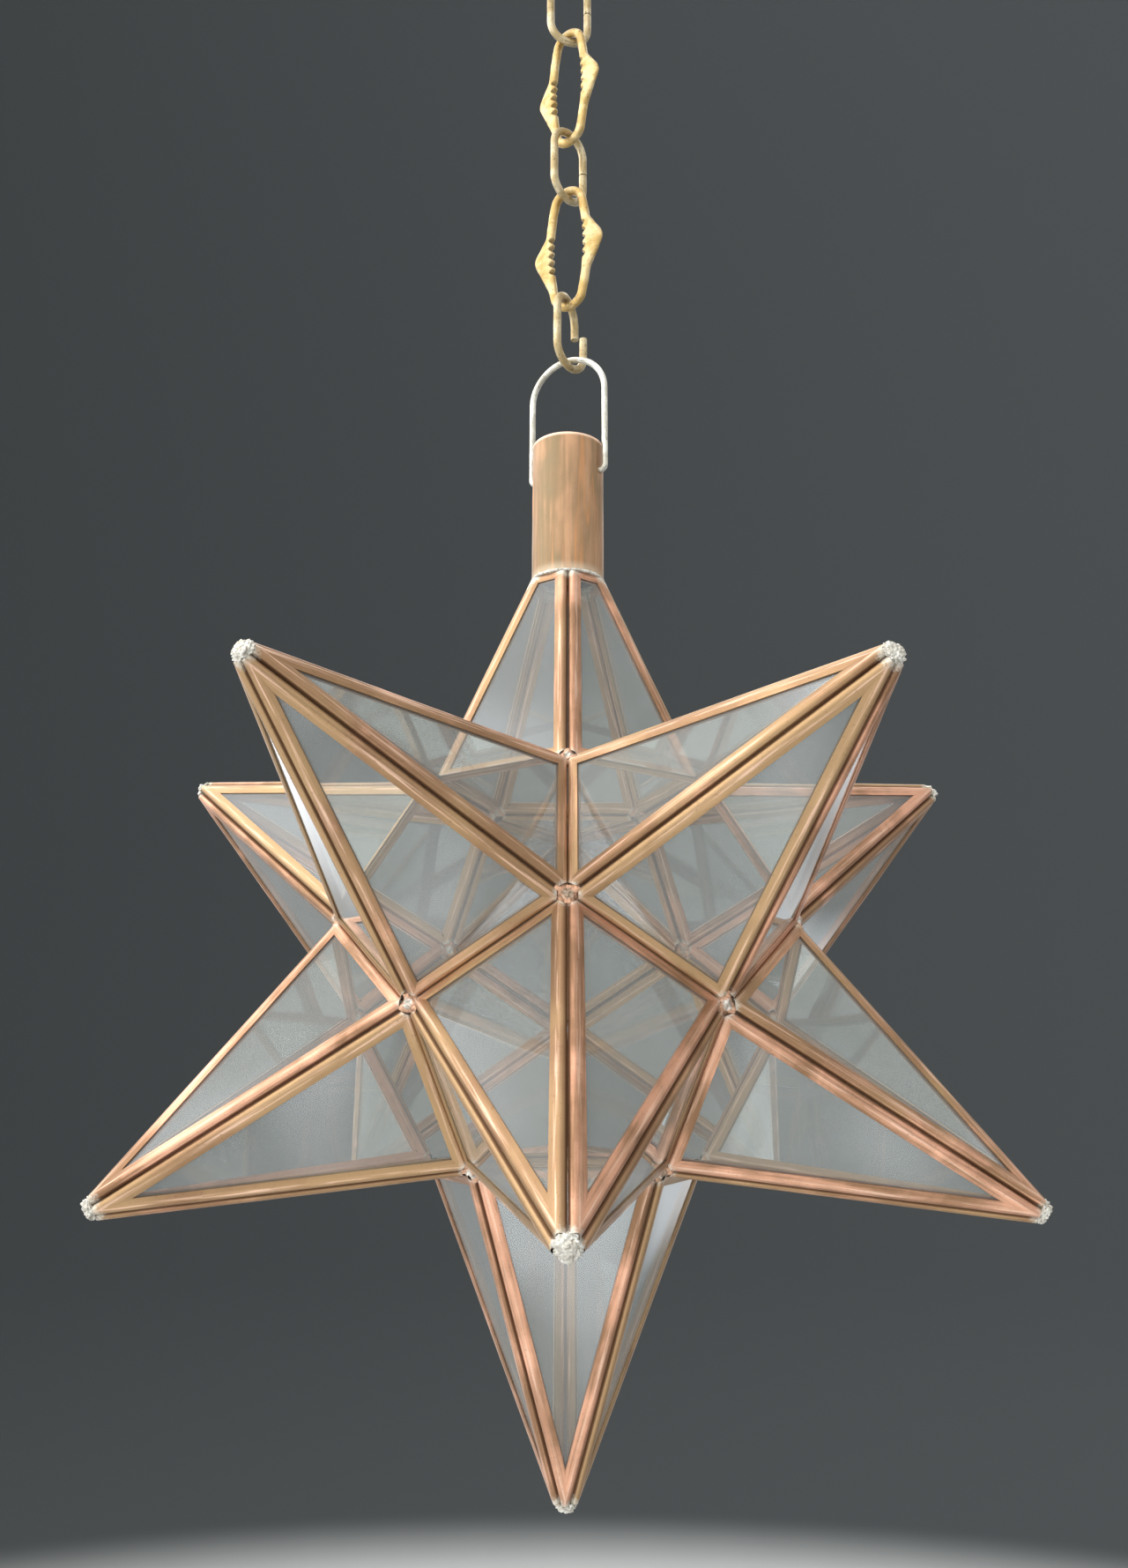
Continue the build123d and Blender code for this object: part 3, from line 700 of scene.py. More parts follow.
# Neck seam, a fillet of tin solder between the tube and the cut top point. It was run round with an iron,
# so its edge is uneven, and it stays silvery against the copper.
SEAM_SEGMENTS = 180
SEAM_STEPS = 12
SEAM_COVER = 0.0025
SEAM_CREASE = 50
SEAM_LUMPS = ((330, 0.00035), (900, 0.00012))
TIN_SOLDER = skin_finish(
    "tin_solder",
    metal=(0.52, 0.48, 0.41),
    rubbed=(0.76, 0.73, 0.65),
    tarnish=(0.24, 0.17, 0.10),
    patches=420,
    specks=1300,
    share=0.08,
    depth=0.0010,
    metallic=0.6,
)
seam_low, seam_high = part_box("neck_seam")
seam_bore = TUBE_RADIUS - TUBE_WALL - SEAM_COVER
half_seam = (seam_high.z - seam_low.z) / 2
seam_outline = [(seam_bore, seam_low.z)]
for k in range(SEAM_STEPS + 1):
    angle = radians(-90 + 180 / SEAM_STEPS * k)
    reach = seam_high.x - half_seam + half_seam * cos(angle)
    seam_outline.append((reach, seam_low.z + half_seam * (1 + sin(angle))))
seam_outline.append((seam_bore, seam_high.z))
seam_mesh = revolved_mesh("neck_seam_solder", seam_outline, SEAM_SEGMENTS)
for vert in seam_mesh.vertices:
    out = Vector((vert.co.x, vert.co.y, 0))
    if out.length > TUBE_RADIUS - TUBE_WALL:
        vert.co += out.normalized() * sum(noise.noise(vert.co * rate) * depth for rate, depth in SEAM_LUMPS)
seam = new_piece("neck_seam_solder", smoothed(seam_mesh, TIN_SOLDER, SEAM_CREASE))
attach(seam, "star")
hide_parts("neck_seam")


# Pane frames. Each pane has its own strip of sheet copper folded into a rounded channel round its edge and
# mitred at the corners. The frames lie side by side along every ridge and valley, with a groove between
# them that is darkened by grime and painted shade.
PANE_BASE = 0.060
PANE_SIDE = 0.126
GLASS_SLOT = 0.0011
CHANNEL_THICKNESS = 0.0036
CHANNEL_DEPTH = 0.0044
CHANNEL_BACK = 0.0011
CHANNEL_LIP = 0.00035
CHANNEL_GAP = 0.0002
CHANNEL_CREASE = 38
TIP_CORE = 0.0005
BEAD_RADIUS = 0.0034
BEAD_CLEARANCE = 0.00005
STRIP_STEPS = 26
BACK_STEPS = 6
LIP_STEPS = 4
FOLD_RATE = 45
FOLD_SHIFT = 3.1
FOLD_WAVER = 0.00007
WELD = 1e-6
STEP = radians(72)
BASE_CIRCLE = PANE_BASE / (2 * sin(STEP / 2))
BASE_APOTHEM = PANE_BASE / (2 * tan(STEP / 2))
POINT_TILT = atan(2)
BASE_HEIGHT = BASE_APOTHEM / tan(POINT_TILT / 2)
POINT_HEIGHT = sqrt(PANE_SIDE**2 - BASE_CIRCLE**2)
APEX_HEIGHT = BASE_HEIGHT + POINT_HEIGHT
PANE_HEIGHT = hypot(POINT_HEIGHT, BASE_APOTHEM)
SLOPE_RISE = POINT_HEIGHT / PANE_HEIGHT
SLOPE_RUN = BASE_APOTHEM / PANE_HEIGHT
RIDGE_ANGLE = pi - acos(SLOPE_RISE**2 * cos(STEP) + SLOPE_RUN**2)
VALLEY_ANGLE = pi + POINT_TILT - 2 * acos(SLOPE_RUN)
HALF_CHANNEL = CHANNEL_THICKNESS / 2
CHANNEL_ACROSS = HALF_CHANNEL / SLOPE_RISE
TIP_CUT = (CHANNEL_ACROSS + TIP_CORE) * POINT_HEIGHT / BASE_APOTHEM
NECK_CUT = TUBE_RADIUS * POINT_HEIGHT / BASE_CIRCLE
BASE_ENDS = [Vector((-PANE_BASE / 2, 0, 0)), Vector((PANE_BASE / 2, 0, 0))]
STAR_Z = seam_low.z - (APEX_HEIGHT - NECK_CUT)
STAR_MIDDLE = Vector((0, 0, STAR_Z))
CHANNEL_COPPER = (0.66, 0.345, 0.22)
CHANNEL_AGED = (0.26, 0.14, 0.073)
CHANNEL_OCHRE = (0.45, 0.29, 0.145)
# Rubbed copper, which also paints a highlight along the strips' crowns.
CHANNEL_RUBBED_AND_HIGHLIGHT = (0.86, 0.57, 0.42)
CHANNEL_PITS = (0.16, 0.08, 0.035)
# Grime, which also paints shade in the grooves between strips.
CHANNEL_GRIME_AND_SHADE = (0.13, 0.06, 0.028)
CHANNEL_TINNED = (0.62, 0.57, 0.48)
STRIP_STREAKS = (42.0, 1100.0, 1.0)
CHANNEL_BLOTCHES = 34.0
CHANNEL_PIT_SCALE = 1300.0
CROWN_PLACE = 0.0030
TINNED_REACH = 0.0065


def inset(corners, setbacks):
    """Corners of an anticlockwise flat outline whose edges move inwards, each by its own setback."""
    lines = []
    for start, end, setback in zip(corners, corners[1:] + corners[:1], setbacks):
        along = (end - start).normalized()
        lines.append((start + Vector((-along.y, along.x, 0)) * setback, along))
    moved = []
    for k, (start, along) in enumerate(lines):
        other, other_along = lines[k - 1]
        square = Vector((-along.y, along.x, 0))
        moved.append(other + other_along * ((start - other).dot(square) / other_along.dot(square)))
    return moved


def edge_setback(angle):
    """How far a channel's back stays from the line where two panes meet."""
    return (HALF_CHANNEL + CHANNEL_GAP / 2) / sin(angle / 2) - HALF_CHANNEL


def channel_section():
    """Closed section of the channel: distance from the edge, height, and way round from the back."""
    lip = GLASS_SLOT + CHANNEL_LIP
    back = [radians(90 / BACK_STEPS * k) for k in range(BACK_STEPS + 1)]
    outer = [(HALF_CHANNEL * (1 - cos(a)), HALF_CHANNEL * sin(a), HALF_CHANNEL * a) for a in back]
    quarter = HALF_CHANNEL * pi / 2
    for k in range(1, LIP_STEPS + 1):
        share = k / LIP_STEPS
        across = HALF_CHANNEL + (CHANNEL_DEPTH - HALF_CHANNEL) * share
        height = HALF_CHANNEL - (HALF_CHANNEL - lip) * share**2
        outer.append((across, height, quarter + across - HALF_CHANNEL))
    whole = outer[-1][2]
    slot = [(CHANNEL_DEPTH, GLASS_SLOT, whole), (CHANNEL_BACK, GLASS_SLOT, whole)]
    lower = [(across, -height, -way) for across, height, way in reversed(slot)]
    lower += [(across, -height, -way) for across, height, way in reversed(outer[1:])]
    return outer + slot + lower


def trim(shape, origin, towards):
    """Cut a shape off square at a plane, and close it there."""
    parts = shape.verts[:] + shape.edges[:] + shape.faces[:]
    cut = bmesh.ops.bisect_plane(
        shape, geom=parts, plane_co=origin, plane_no=towards, clear_outer=True, dist=WELD
    )
    rims = [g for g in cut["geom_cut"] if isinstance(g, bmesh.types.BMEdge) and g.is_boundary]
    bmesh.ops.holes_fill(shape, edges=rims, sides=0)


def pane_corners(end_cut, closing_edge):
    """Outline of a pane's frame, with its base on X and the point's tip towards +Y."""
    ridge, valley = edge_setback(RIDGE_ANGLE), edge_setback(VALLEY_ANGLE)
    if not closing_edge:
        return inset(BASE_ENDS + [Vector((0, PANE_HEIGHT, 0))], [valley, ridge, ridge])
    top = PANE_HEIGHT - end_cut / SLOPE_RISE + HALF_CHANNEL / 2
    half_top = PANE_BASE / 2 * (1 - top / PANE_HEIGHT)
    top_ends = [Vector((half_top, top, 0)), Vector((-half_top, top, 0))]
    return inset(BASE_ENDS + top_ends, [valley, ridge, 0, ridge])


def frame_mesh(name, end_cut, closing_edge):
    """One pane frame in the pane's plane, with the way along and round each strip kept as a UV map."""
    corners = pane_corners(end_cut, closing_edge)
    section = channel_section()
    shape = bmesh.new()
    strip = shape.loops.layers.uv.new("Strip")
    for side in range(len(corners)):
        following = (side + 1) % len(corners)
        length = (corners[following] - corners[side]).length
        rows = []
        for across, height, way in section:
            lines = inset(corners, [across] * len(corners))
            row = []
            for k in range(STRIP_STEPS + 1):
                spot = lines[side].lerp(lines[following], k / STRIP_STEPS) + Vector((0, 0, height))
                lean = noise.noise(spot * FOLD_RATE + Vector((side * FOLD_SHIFT, 0, 0))) * FOLD_WAVER
                row.append(shape.verts.new(spot + Vector((0, 0, lean))))
            rows.append((row, way))
        for (first, way), (second, next_way) in zip(rows, rows[1:] + [(rows[0][0], 0.0)]):
            for k in range(STRIP_STEPS):
                face = shape.faces.new((first[k], first[k + 1], second[k + 1], second[k]))
                places = ((k, way), (k + 1, way), (k + 1, next_way), (k, next_way))
                for loop, (step, around) in zip(face.loops, places):
                    loop[strip].uv = (length * (step / STRIP_STEPS - 0.5) + side, around)
    bmesh.ops.remove_doubles(shape, verts=shape.verts, dist=WELD)
    bmesh.ops.recalc_face_normals(shape, faces=shape.faces)
    apex = Vector((0, PANE_HEIGHT, 0))
    axis = Vector((0, SLOPE_RISE, SLOPE_RUN))
    trim(shape, apex - axis * end_cut, axis)
    for corner in BASE_ENDS:
        side = copysign(1, corner.x)
        inwards = (Vector((-side, 0, 0)) + (apex - corner).normalized()).normalized()
        trim(shape, corner + inwards * (BEAD_RADIUS + BEAD_CLEARANCE), -inwards)
    near = shape.verts.layers.float.new("corner_near")
    ends = BASE_ENDS + (corners[2:] if closing_edge else [apex - axis * end_cut])
    for vert in shape.verts:
        vert[near] = max(exp(-(((vert.co - end).length / TINNED_REACH) ** 2)) for end in ends)
    for face in shape.faces:
        face.smooth = True
    mesh = mesh_from(name, shape)
    mesh.set_sharp_from_angle(angle=radians(CHANNEL_CREASE))
    return mesh


def point_places():
    """Name and place of each of the twelve points."""
    front = -pi / 2
    places = {"top_point": Matrix.Rotation(front, 4, "Z")}
    for k in range(5):
        turn = front + STEP * k
        tilt = Matrix.Rotation(POINT_TILT, 4, "Y")
        fall = Matrix.Rotation(pi - POINT_TILT, 4, "Y") @ Matrix.Rotation(pi, 4, "Z")
        places[f"upper_point_{k + 1}"] = Matrix.Rotation(turn + STEP / 2, 4, "Z") @ tilt
        places[f"lower_point_{k + 1}"] = Matrix.Rotation(turn, 4, "Z") @ fall
    places["bottom_point"] = Matrix.Rotation(front, 4, "Z") @ Matrix.Rotation(pi, 4, "Y")
    return {name: Matrix.Translation((0, 0, STAR_Z)) @ place for name, place in places.items()}


def pane_places():
    """Places of the five panes of a point."""
    middle = Vector((cos(STEP / 2), sin(STEP / 2), 0))
    z_way = middle * SLOPE_RISE + Vector((0, 0, SLOPE_RUN))
    x_way = Vector((-middle.y, middle.x, 0))
    turn = Matrix((x_way, z_way.cross(x_way), z_way)).transposed().to_4x4()
    seat = Matrix.Translation(middle * BASE_APOTHEM + Vector((0, 0, BASE_HEIGHT))) @ turn
    return [Matrix.Rotation(STEP * k, 4, "Z") @ seat for k in range(5)]


def repeat_tree():
    """Geometry nodes that set a pattern on every place, turned as it says, of a random size and age."""
    tree = bpy.data.node_groups.new("set_on_places", "GeometryNodeTree")
    new_sockets(tree, "INPUT", "Geometry", "Places")
    new_sockets(tree, "INPUT", "Object", "Pattern")
    new_sockets(tree, "INPUT", "Float", "Least Size")
    new_sockets(tree, "INPUT", "Int", "Seed")
    new_sockets(tree, "INPUT", "Material", "Finish")
    new_sockets(tree, "OUTPUT", "Geometry", "Pieces")
    given = tree.nodes.new("NodeGroupInput").outputs
    pattern = put(tree, "GeometryNodeObjectInfo", {"Object": given["Pattern"]})
    turn = put(tree, "GeometryNodeInputNamedAttribute", {"Name": "turn"}, data_type="FLOAT_VECTOR")
    sizing = {2: given["Least Size"], 3: 1.0, "Seed": given["Seed"]}
    size = put(tree, "FunctionNodeRandomValue", sizing, data_type="FLOAT")
    spreading = {
        "Points": given["Places"],
        "Instance": pattern.outputs["Geometry"],
        "Rotation": turn.outputs["Attribute"],
        "Scale": size.outputs[1],
    }
    spread = put(tree, "GeometryNodeInstanceOnPoints", spreading)
    ageing = {"Seed": sum_of(tree, given["Seed"], 100.0)}
    age = put(tree, "FunctionNodeRandomValue", ageing, data_type="FLOAT")
    keeping = {"Geometry": spread.outputs["Instances"], "Name": "age", "Value": age.outputs[1]}
    kept = put(tree, "GeometryNodeStoreNamedAttribute", keeping, data_type="FLOAT", domain="INSTANCE")
    return close_tree(tree, kept.outputs["Geometry"], given["Finish"], "Pieces")


def repeated(name, pattern, places, seed, least_size, finish):
    """One piece with the pattern at every place."""
    mesh = bpy.data.meshes.new(name + "_places")
    mesh.from_pydata([place.to_translation() for place in places], [], [])
    turns = mesh.attributes.new("turn", "FLOAT_VECTOR", "POINT")
    for slot, place in zip(turns.data, places):
        slot.vector = place.to_euler()
    values = {"Pattern": pattern, "Least Size": least_size, "Seed": seed, "Finish": finish}
    return grown(name, new_piece(name + "_places", mesh), REPEAT, values)


def channel_finish():
    """Aged sheet copper: streaks along the strip, brown blotches, grooves darkened by grime and painted
    shade, crowns lightened by rubbing and a painted highlight, and tinned corners.
    """
    finish, tree, shader = new_finish("aged_channel_copper", 0.78)
    where = own_place(tree)
    strip = put(tree, "ShaderNodeUVMap", uv_map="Strip").outputs["UV"]
    way_round = put(tree, "ShaderNodeSeparateXYZ", {"Vector": strip}).outputs["Y"]
    around = put(tree, "ShaderNodeMath", {0: way_round}, operation="ABSOLUTE").outputs[0]
    past_crown = sum_of(tree, around, -CROWN_PLACE)
    off_crown = put(tree, "ShaderNodeMath", {0: past_crown}, operation="ABSOLUTE").outputs[0]
    # Crown band on the outer face of each strip, lightened by rubbing and a painted highlight.
    crown = ramp(tree, off_crown, 0.0011, 0.0002)
    # Groove where the backs of neighbouring strips meet, darkened by grime and painted shade.
    groove_grime_and_shade = ramp(tree, around, 0.0008, 0.0001)
    streak = noise_at(tree, stretched(tree, strip, STRIP_STREAKS), 1.0, 4.0)
    blotch = noise_at(tree, where, CHANNEL_BLOTCHES, 5.0, 0.5)
    speck = noise_at(tree, where, CHANNEL_PIT_SCALE, 5.0)
    age, corner = kept_value(tree, "age"), kept_value(tree, "corner_near")
    mood = sum_of(tree, product(tree, blotch, 0.7), product(tree, streak, 0.3))
    older = sum_of(tree, mood, product(tree, age, 0.28))
    yellower = product(tree, blotch.node.outputs["Color"], age)
    rub_and_highlight = product(tree, crown, ramp(tree, streak, 0.42, 0.66, 0.0, 0.65))
    smear = sum_of(tree, corner, product(tree, speck, blotch))
    colour = layered(
        tree,
        CHANNEL_COPPER,
        (ramp(tree, older, 0.44, 0.68), CHANNEL_AGED),
        (ramp(tree, yellower, 0.20, 0.44, 0.0, 0.75), CHANNEL_OCHRE),
        (rub_and_highlight, CHANNEL_RUBBED_AND_HIGHLIGHT),
        (ramp(tree, speck, 0.60, 0.78, 0.0, 0.6), CHANNEL_PITS),
        (product(tree, groove_grime_and_shade, 0.8), CHANNEL_GRIME_AND_SHADE),
        (ramp(tree, smear, 0.72, 1.02, 0.0, 0.85), CHANNEL_TINNED),
    )
    rough = sum_of(tree, ramp(tree, mood, 0.3, 0.7, 0.36, 0.54), product(tree, groove_grime_and_shade, 0.25))
    height = sum_of(tree, product(tree, streak, 0.7), product(tree, speck, 0.8))
    link_surface(tree, shader, colour, rough, height, 0.3, 0.0003)
    return finish


REPEAT = repeat_tree()
AGED_CHANNEL = channel_finish()
POINTS = point_places()
full_frame = new_piece("full_frame_pattern", frame_mesh("full_frame", TIP_CUT, False))
neck_frame = new_piece("neck_frame_pattern", frame_mesh("neck_frame", NECK_CUT, True))
for seed, (point, place) in enumerate(POINTS.items()):
    pattern = neck_frame if point == "top_point" else full_frame
    seats = [place @ pane for pane in pane_places()]
    frames = repeated(point + "_channels", pattern, seats, seed, 1.0, AGED_CHANNEL)
    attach(frames, "star")
    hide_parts(point + "_frames")
bpy.data.objects.remove(full_frame)
bpy.data.objects.remove(neck_frame)


# Panes, cut from clear sheet glass two millimetres thick. They sit loose in the channels. The glass is a
# little wavy and faintly green, with dust and wiping marks on it.
GLASS_INDEX = 1.75
GLASS_CLEARNESS = 0.94
GLASS_CLEAN = (0.955, 0.975, 0.955)
GLASS_DUSTY = (0.925, 0.945, 0.915)
GLASS_SHADE = (0.93, 0.95, 0.94, 1)
SMUDGE_SCALE = 38.0
WAVE_SCALE = 16.0


def clear_glass():
    """Sheet glass that lets light rays straight through, so that what lies inside is lit."""
    constants = {"IOR": GLASS_INDEX, "Transmission Weight": GLASS_CLEARNESS}
    finish, tree, shader = new_finish("clear_sheet_glass", 0.0, **constants)
    where = own_place(tree)
    smudge = noise_at(tree, where, SMUDGE_SCALE, 5.0, 1.2)
    wave = noise_at(tree, where, WAVE_SCALE, 1.0)
    tint = blend(tree, ramp(tree, smudge, 0.35, 0.7), GLASS_CLEAN, GLASS_DUSTY)
    link_surface(tree, shader, tint, ramp(tree, smudge, 0.5, 0.8, 0.0, 0.06), wave, 0.12, 0.004)
    path = tree.nodes.new("ShaderNodeLightPath").outputs
    past = sum_of(tree, path["Is Shadow Ray"], path["Is Diffuse Ray"], "MAXIMUM")
    open_way = put(tree, "ShaderNodeBsdfTransparent", {"Color": GLASS_SHADE})
    ways = {0: past, 1: shader.outputs["BSDF"], 2: open_way.outputs["BSDF"]}
    either = put(tree, "ShaderNodeMixShader", ways)
    tree.links.new(either.outputs[0], tree.get_output_node("ALL").inputs["Surface"])
    return finish


CLEAR_GLASS = clear_glass()
for point in POINTS:
    frame["nodes"][point + "_panes"].material_slots[0].material = CLEAR_GLASS


# Solder on the tips and in the inner corners. Lumps of tin hold the frames' ends together. They were
# dropped on and left crusty, bright on top, grey-brown where flux has stayed, and copper-stained where they
# run out thin.
TIP_RADIUS = TIP_CORE + 2 * CHANNEL_ACROSS
TIP_HEIGHT = 0.0031
TIP_LEAST = 0.92
CORNER_RADIUS = BEAD_RADIUS * 1.2
CORNER_LEAST = 0.9
LUMP_SPLITS = 5
LUMP_UNDERSIDE = 0.35
LUMP_FLAT = -0.12
LUMP_SHIFT = Vector((11.7, 3.3, 0))
LUMP_SWELLS = ((1.9, 0.24), (4.5, 0.22))
CRUST_RATE = 13
CRUST_DEPTH = 0.13
TIP_ROLL = 6.28
THIRD = radians(120)


def lump_mesh(name, seed, radius, squash, roundness, lift=0.0, saddle=0.0):
    """Crusty lump of solder about the origin, flat below and bent to a three-way saddle."""
    shape = bmesh.new()
    rim = shape.verts.layers.float.new("rim")
    bmesh.ops.create_icosphere(shape, subdivisions=LUMP_SPLITS, radius=1.0)
    offset = LUMP_SHIFT * seed
    for vert in shape.verts:
        way = vert.co.normalized()
        swell = sum(noise.noise(way * rate + offset) * depth for rate, depth in LUMP_SWELLS)
        swell += abs(noise.noise(way * CRUST_RATE + offset)) * CRUST_DEPTH - roundness
        vert.co = way * (1 + swell)
        vert.co.z *= squash if vert.co.z > 0 else LUMP_UNDERSIDE
        vert.co.z = max(vert.co.z, LUMP_FLAT)
        vert[rim] = hypot(vert.co.x, vert.co.y)
        vert.co.z += vert[rim] * (lift + saddle * cos(3 * atan2(vert.co.y, vert.co.x)))
    for face in shape.faces:
        face.smooth = True
    mesh = mesh_from(name, shape)
    mesh.transform(Matrix.Scale(radius, 4))
    return mesh


GREY_SOLDER = skin_finish(
    "grey_solder",
    metal=(0.50, 0.44, 0.37),
    rubbed=(0.74, 0.70, 0.62),
    tarnish=(0.20, 0.13, 0.08),
    patches=420,
    specks=1100,
    share=0.07,
    depth=0.0006,
    metallic=0.6,
    older=(0.30, 0.19, 0.11),
    rim=(0.56, 0.32, 0.20),
)
rolls = random.Random(4)
on_tip = Matrix.Translation((0, 0, APEX_HEIGHT - TIP_CUT))
tip_places = [
    place @ on_tip @ Matrix.Rotation(rolls.uniform(0, TIP_ROLL), 4, "Z")
    for point, place in POINTS.items()
    if point != "top_point"
]
corner_places = []
for point, place in POINTS.items():
    for k in range(5 if point in ("top_point", "bottom_point") else 1):
        corner = place @ Matrix.Rotation(STEP * k, 4, "Z") @ Vector((BASE_CIRCLE, 0, BASE_HEIGHT))
        outwards = (corner - STAR_MIDDLE).normalized()
        to_tip = place @ Vector((0, 0, APEX_HEIGHT)) - corner
        along = (to_tip - outwards * to_tip.dot(outwards)).normalized()
        axes = Matrix((along, outwards.cross(along), outwards)).transposed().to_4x4()
        roll = Matrix.Rotation(rolls.randrange(3) * THIRD, 4, "Z")
        corner_places.append(Matrix.Translation(corner) @ axes @ roll)
tip_mesh = lump_mesh("tip_lump", 1, TIP_RADIUS, TIP_HEIGHT / TIP_RADIUS, 0.19)
tip_lump = new_piece("tip_lump_pattern", tip_mesh)
tip_solder = repeated("tip_solder_lumps", tip_lump, tip_places, 3, TIP_LEAST, TIN_SOLDER)
corner_mesh = lump_mesh("corner_lump", 2, CORNER_RADIUS, 0.5, 0.04, lift=0.08, saddle=0.30)
corner_lump = new_piece("corner_lump_pattern", corner_mesh)
corner_solder = repeated("corner_solder_lumps", corner_lump, corner_places, 5, CORNER_LEAST, GREY_SOLDER)
bpy.data.objects.remove(tip_lump)
bpy.data.objects.remove(corner_lump)
for piece, node in ((tip_solder, "tip_solder"), (corner_solder, "corner_solder")):
    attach(piece, "star")
    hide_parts(node)


# Studio: a pale round floor that runs up into a plain dark wall, five large soft boxes, and room light that
# is stronger from the left and the front. The boxes light all but the panes, which mirror the room light
# alone.
FLOOR_Z = -1.6
FLOOR_RADIUS = 2.6
SWEEP_RADIUS = 0.7
SWEEP_STEPS = 16
SWEEP_SEGMENTS = 96
WALL_TOP = 3.2
FLOOR_PAPER = (0.50, 0.50, 0.48)
WALL_PAPER = (0.026, 0.0285, 0.029)
PAPER_GRAIN = (0.027, 0.028, 0.029)
ROOM_LOW = (0.28, 0.30, 0.31)
ROOM_HIGH = (0.95, 0.95, 0.90)
ROOM_BRIGHT = (2.45, 2.55, 2.68)
ROOM_SEEN = (0.040, 0.043, 0.045)


def studio_paper():
    """Matt paper, pale on the floor and dark up the wall."""
    finish, tree, shader = new_finish("studio_paper", 0.0, Roughness=0.9)
    where = own_place(tree)
    height = put(tree, "ShaderNodeSeparateXYZ", {"Vector": where}).outputs["Z"]
    grain = product(tree, noise_at(tree, where, 3.0, 3.0), 0.12)
    paper = blend(tree, ramp(tree, height, FLOOR_Z + 0.01, FLOOR_Z + 0.16), FLOOR_PAPER, WALL_PAPER)
    tree.links.new(blend(tree, grain, paper, PAPER_GRAIN), shader.inputs["Base Color"])
    return finish


sweep_outline = [(0.0, FLOOR_Z)]
for k in range(SWEEP_STEPS + 1):
    angle = radians(-90 + 90 * k / SWEEP_STEPS)
    reach = FLOOR_RADIUS + SWEEP_RADIUS * cos(angle)
    sweep_outline.append((reach, FLOOR_Z + SWEEP_RADIUS * (1 + sin(angle))))
sweep_outline.append((FLOOR_RADIUS + SWEEP_RADIUS, WALL_TOP))
sweep_shape = bmesh.new()
line = [sweep_shape.verts.new((r, 0, z)) for r, z in sweep_outline]
edges = [sweep_shape.edges.new(pair) for pair in zip(line, line[1:])]
bmesh.ops.spin(
    sweep_shape,
    geom=line + edges,
    cent=(0, 0, 0),
    axis=(0, 0, 1),
    angle=2 * pi,
    steps=SWEEP_SEGMENTS,
    use_merge=True,
)
bmesh.ops.remove_doubles(sweep_shape, verts=sweep_shape.verts, dist=1e-5)
sweep_mesh = mesh_from("studio_sweep", sweep_shape)
sweep_mesh.shade_smooth()
sweep_mesh.materials.append(studio_paper())
sweep = new_piece("studio_sweep", sweep_mesh)
sweep.visible_glossy = False
sweep.visible_diffuse = False
sweep.visible_shadow = False
UNMIRRORED = bpy.data.collections.new("panes_that_mirror_no_box")
for point in POINTS:
    UNMIRRORED.objects.link(frame["nodes"][point + "_panes"])
for member in UNMIRRORED.collection_objects:
    member.light_linking.link_state = "EXCLUDE"


def soft_box(name, azimuth, elevation, distance, size, power, colour):
    """Soft box that faces the star. Azimuth 0 is in front and 90 to the right, in degrees."""
    a, e = radians(azimuth), radians(elevation)
    way = Vector((sin(a) * cos(e), -cos(a) * cos(e), sin(e)))
    light = bpy.data.lights.new(name, "AREA")
    light.shape = "RECTANGLE"
    light.size, light.size_y = size
    light.energy = power
    light.color = colour
    lamp = new_piece(name, light)
    lamp.location = STAR_MIDDLE + way * distance
    lamp.rotation_euler = way.to_track_quat("Z", "Y").to_euler()
    lamp.visible_camera = False
    lamp.visible_transmission = False
    lamp.light_linking.receiver_collection = UNMIRRORED


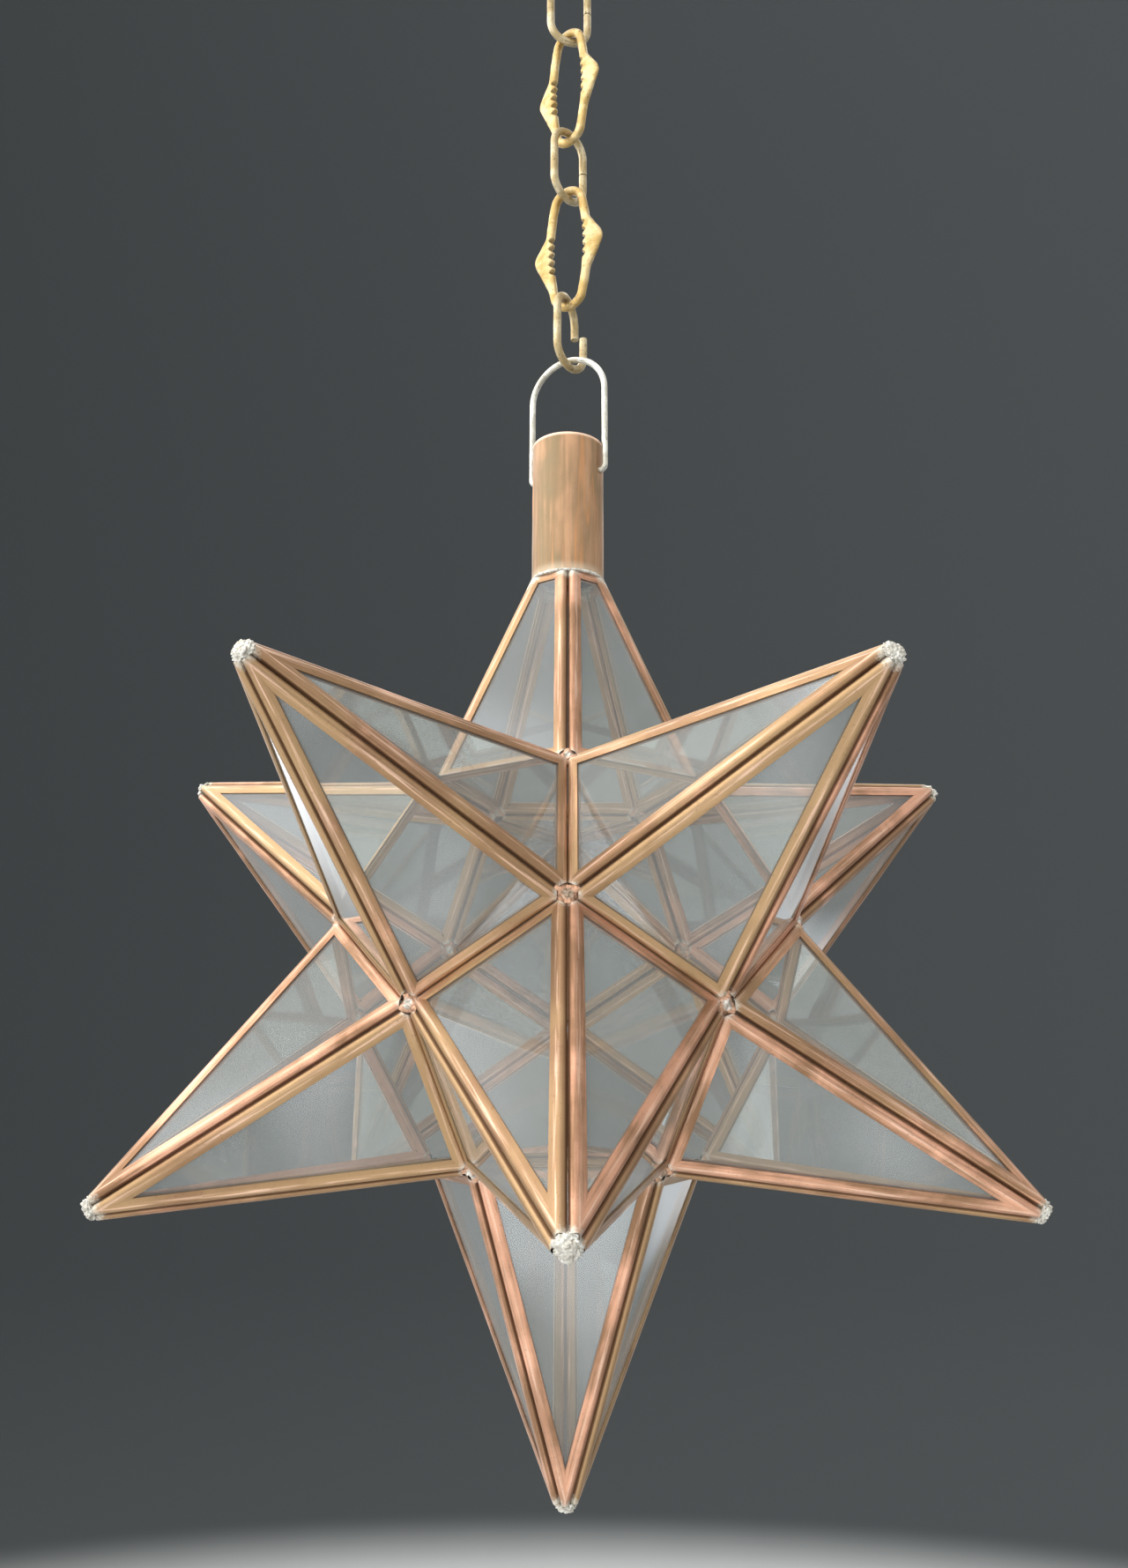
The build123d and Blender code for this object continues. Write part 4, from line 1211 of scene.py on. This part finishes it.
def room_light():
    """World with soft bright patches, dark where the camera sees it past the wall."""
    world = bpy.data.worlds.new("studio_air")
    world.use_nodes = True
    tree = world.node_tree
    look = tree.nodes.new("ShaderNodeTexCoord").outputs["Generated"]
    ways = put(tree, "ShaderNodeSeparateXYZ", {"Vector": look}).outputs
    air = blend(tree, ramp(tree, ways["Z"], -0.6, 0.8), ROOM_LOW, ROOM_HIGH)
    patches = ramp(tree, noise_at(tree, look, 2.3, 2.0), 0.49, 0.57)
    from_left = ramp(tree, ways["X"], 0.9, -0.7, 0.45, 1.15)
    from_front = ramp(tree, ways["Y"], 0.6, -0.8, 0.75, 1.35)
    bright = blend(tree, patches, air, ROOM_BRIGHT)
    sided = blend(tree, 1.0, bright, product(tree, from_left, from_front), "MULTIPLY")
    path = tree.nodes.new("ShaderNodeLightPath").outputs
    seen = sum_of(tree, path["Is Camera Ray"], path["Is Transmission Ray"], "MAXIMUM")
    tree.links.new(blend(tree, seen, sided, ROOM_SEEN), tree.nodes["Background"].inputs["Color"])
    return world


soft_box("left_box", -100, 44, 1.7, (1.8, 1.6), 15, (1.0, 0.985, 0.93))
soft_box("right_box", 100, 44, 1.7, (1.8, 1.6), 2.5, (0.98, 1.0, 0.97))
soft_box("front_box", -28, 24, 2.0, (1.5, 1.6), 3, (1.0, 0.98, 0.95))
soft_box("back_box", 180, 48, 1.8, (1.6, 1.2), 11, (1.0, 0.98, 0.95))
soft_box("low_box", 6, -52, 1.0, (0.95, 0.5), 1.6, (0.97, 1.0, 0.98))
bpy.context.scene.world = room_light()


# Camera, low in front of the star and tilted up at it. Its place is given from the star's middle, in
# lengths from there to a tip, and its lens by the focal length in pixels of the frame.
TIP_SPAN = 0.1789
CAMERA_PLACE = Vector((-0.0067, -2.6968, -0.2532))
CAMERA_TILT = 0.2356
CAMERA_ROLL = 0.0031
SENSOR = 36.0
FOCAL_PIXELS = 1498.2
FRAME_HEIGHT = 1779
camera_data = bpy.data.cameras.new("front_camera")
camera_data.sensor_fit = "AUTO"
camera_data.sensor_width = SENSOR
camera_data.lens = SENSOR * FOCAL_PIXELS / FRAME_HEIGHT
camera = new_piece("front_camera", camera_data)
camera.location = STAR_MIDDLE + CAMERA_PLACE * TIP_SPAN
tilt = Matrix.Rotation(pi / 2 + CAMERA_TILT, 4, "X")
camera.rotation_euler = (tilt @ Matrix.Rotation(CAMERA_ROLL, 4, "Z")).to_euler()
bpy.context.scene.camera = camera
bpy.context.scene.view_settings.view_transform = "Standard"
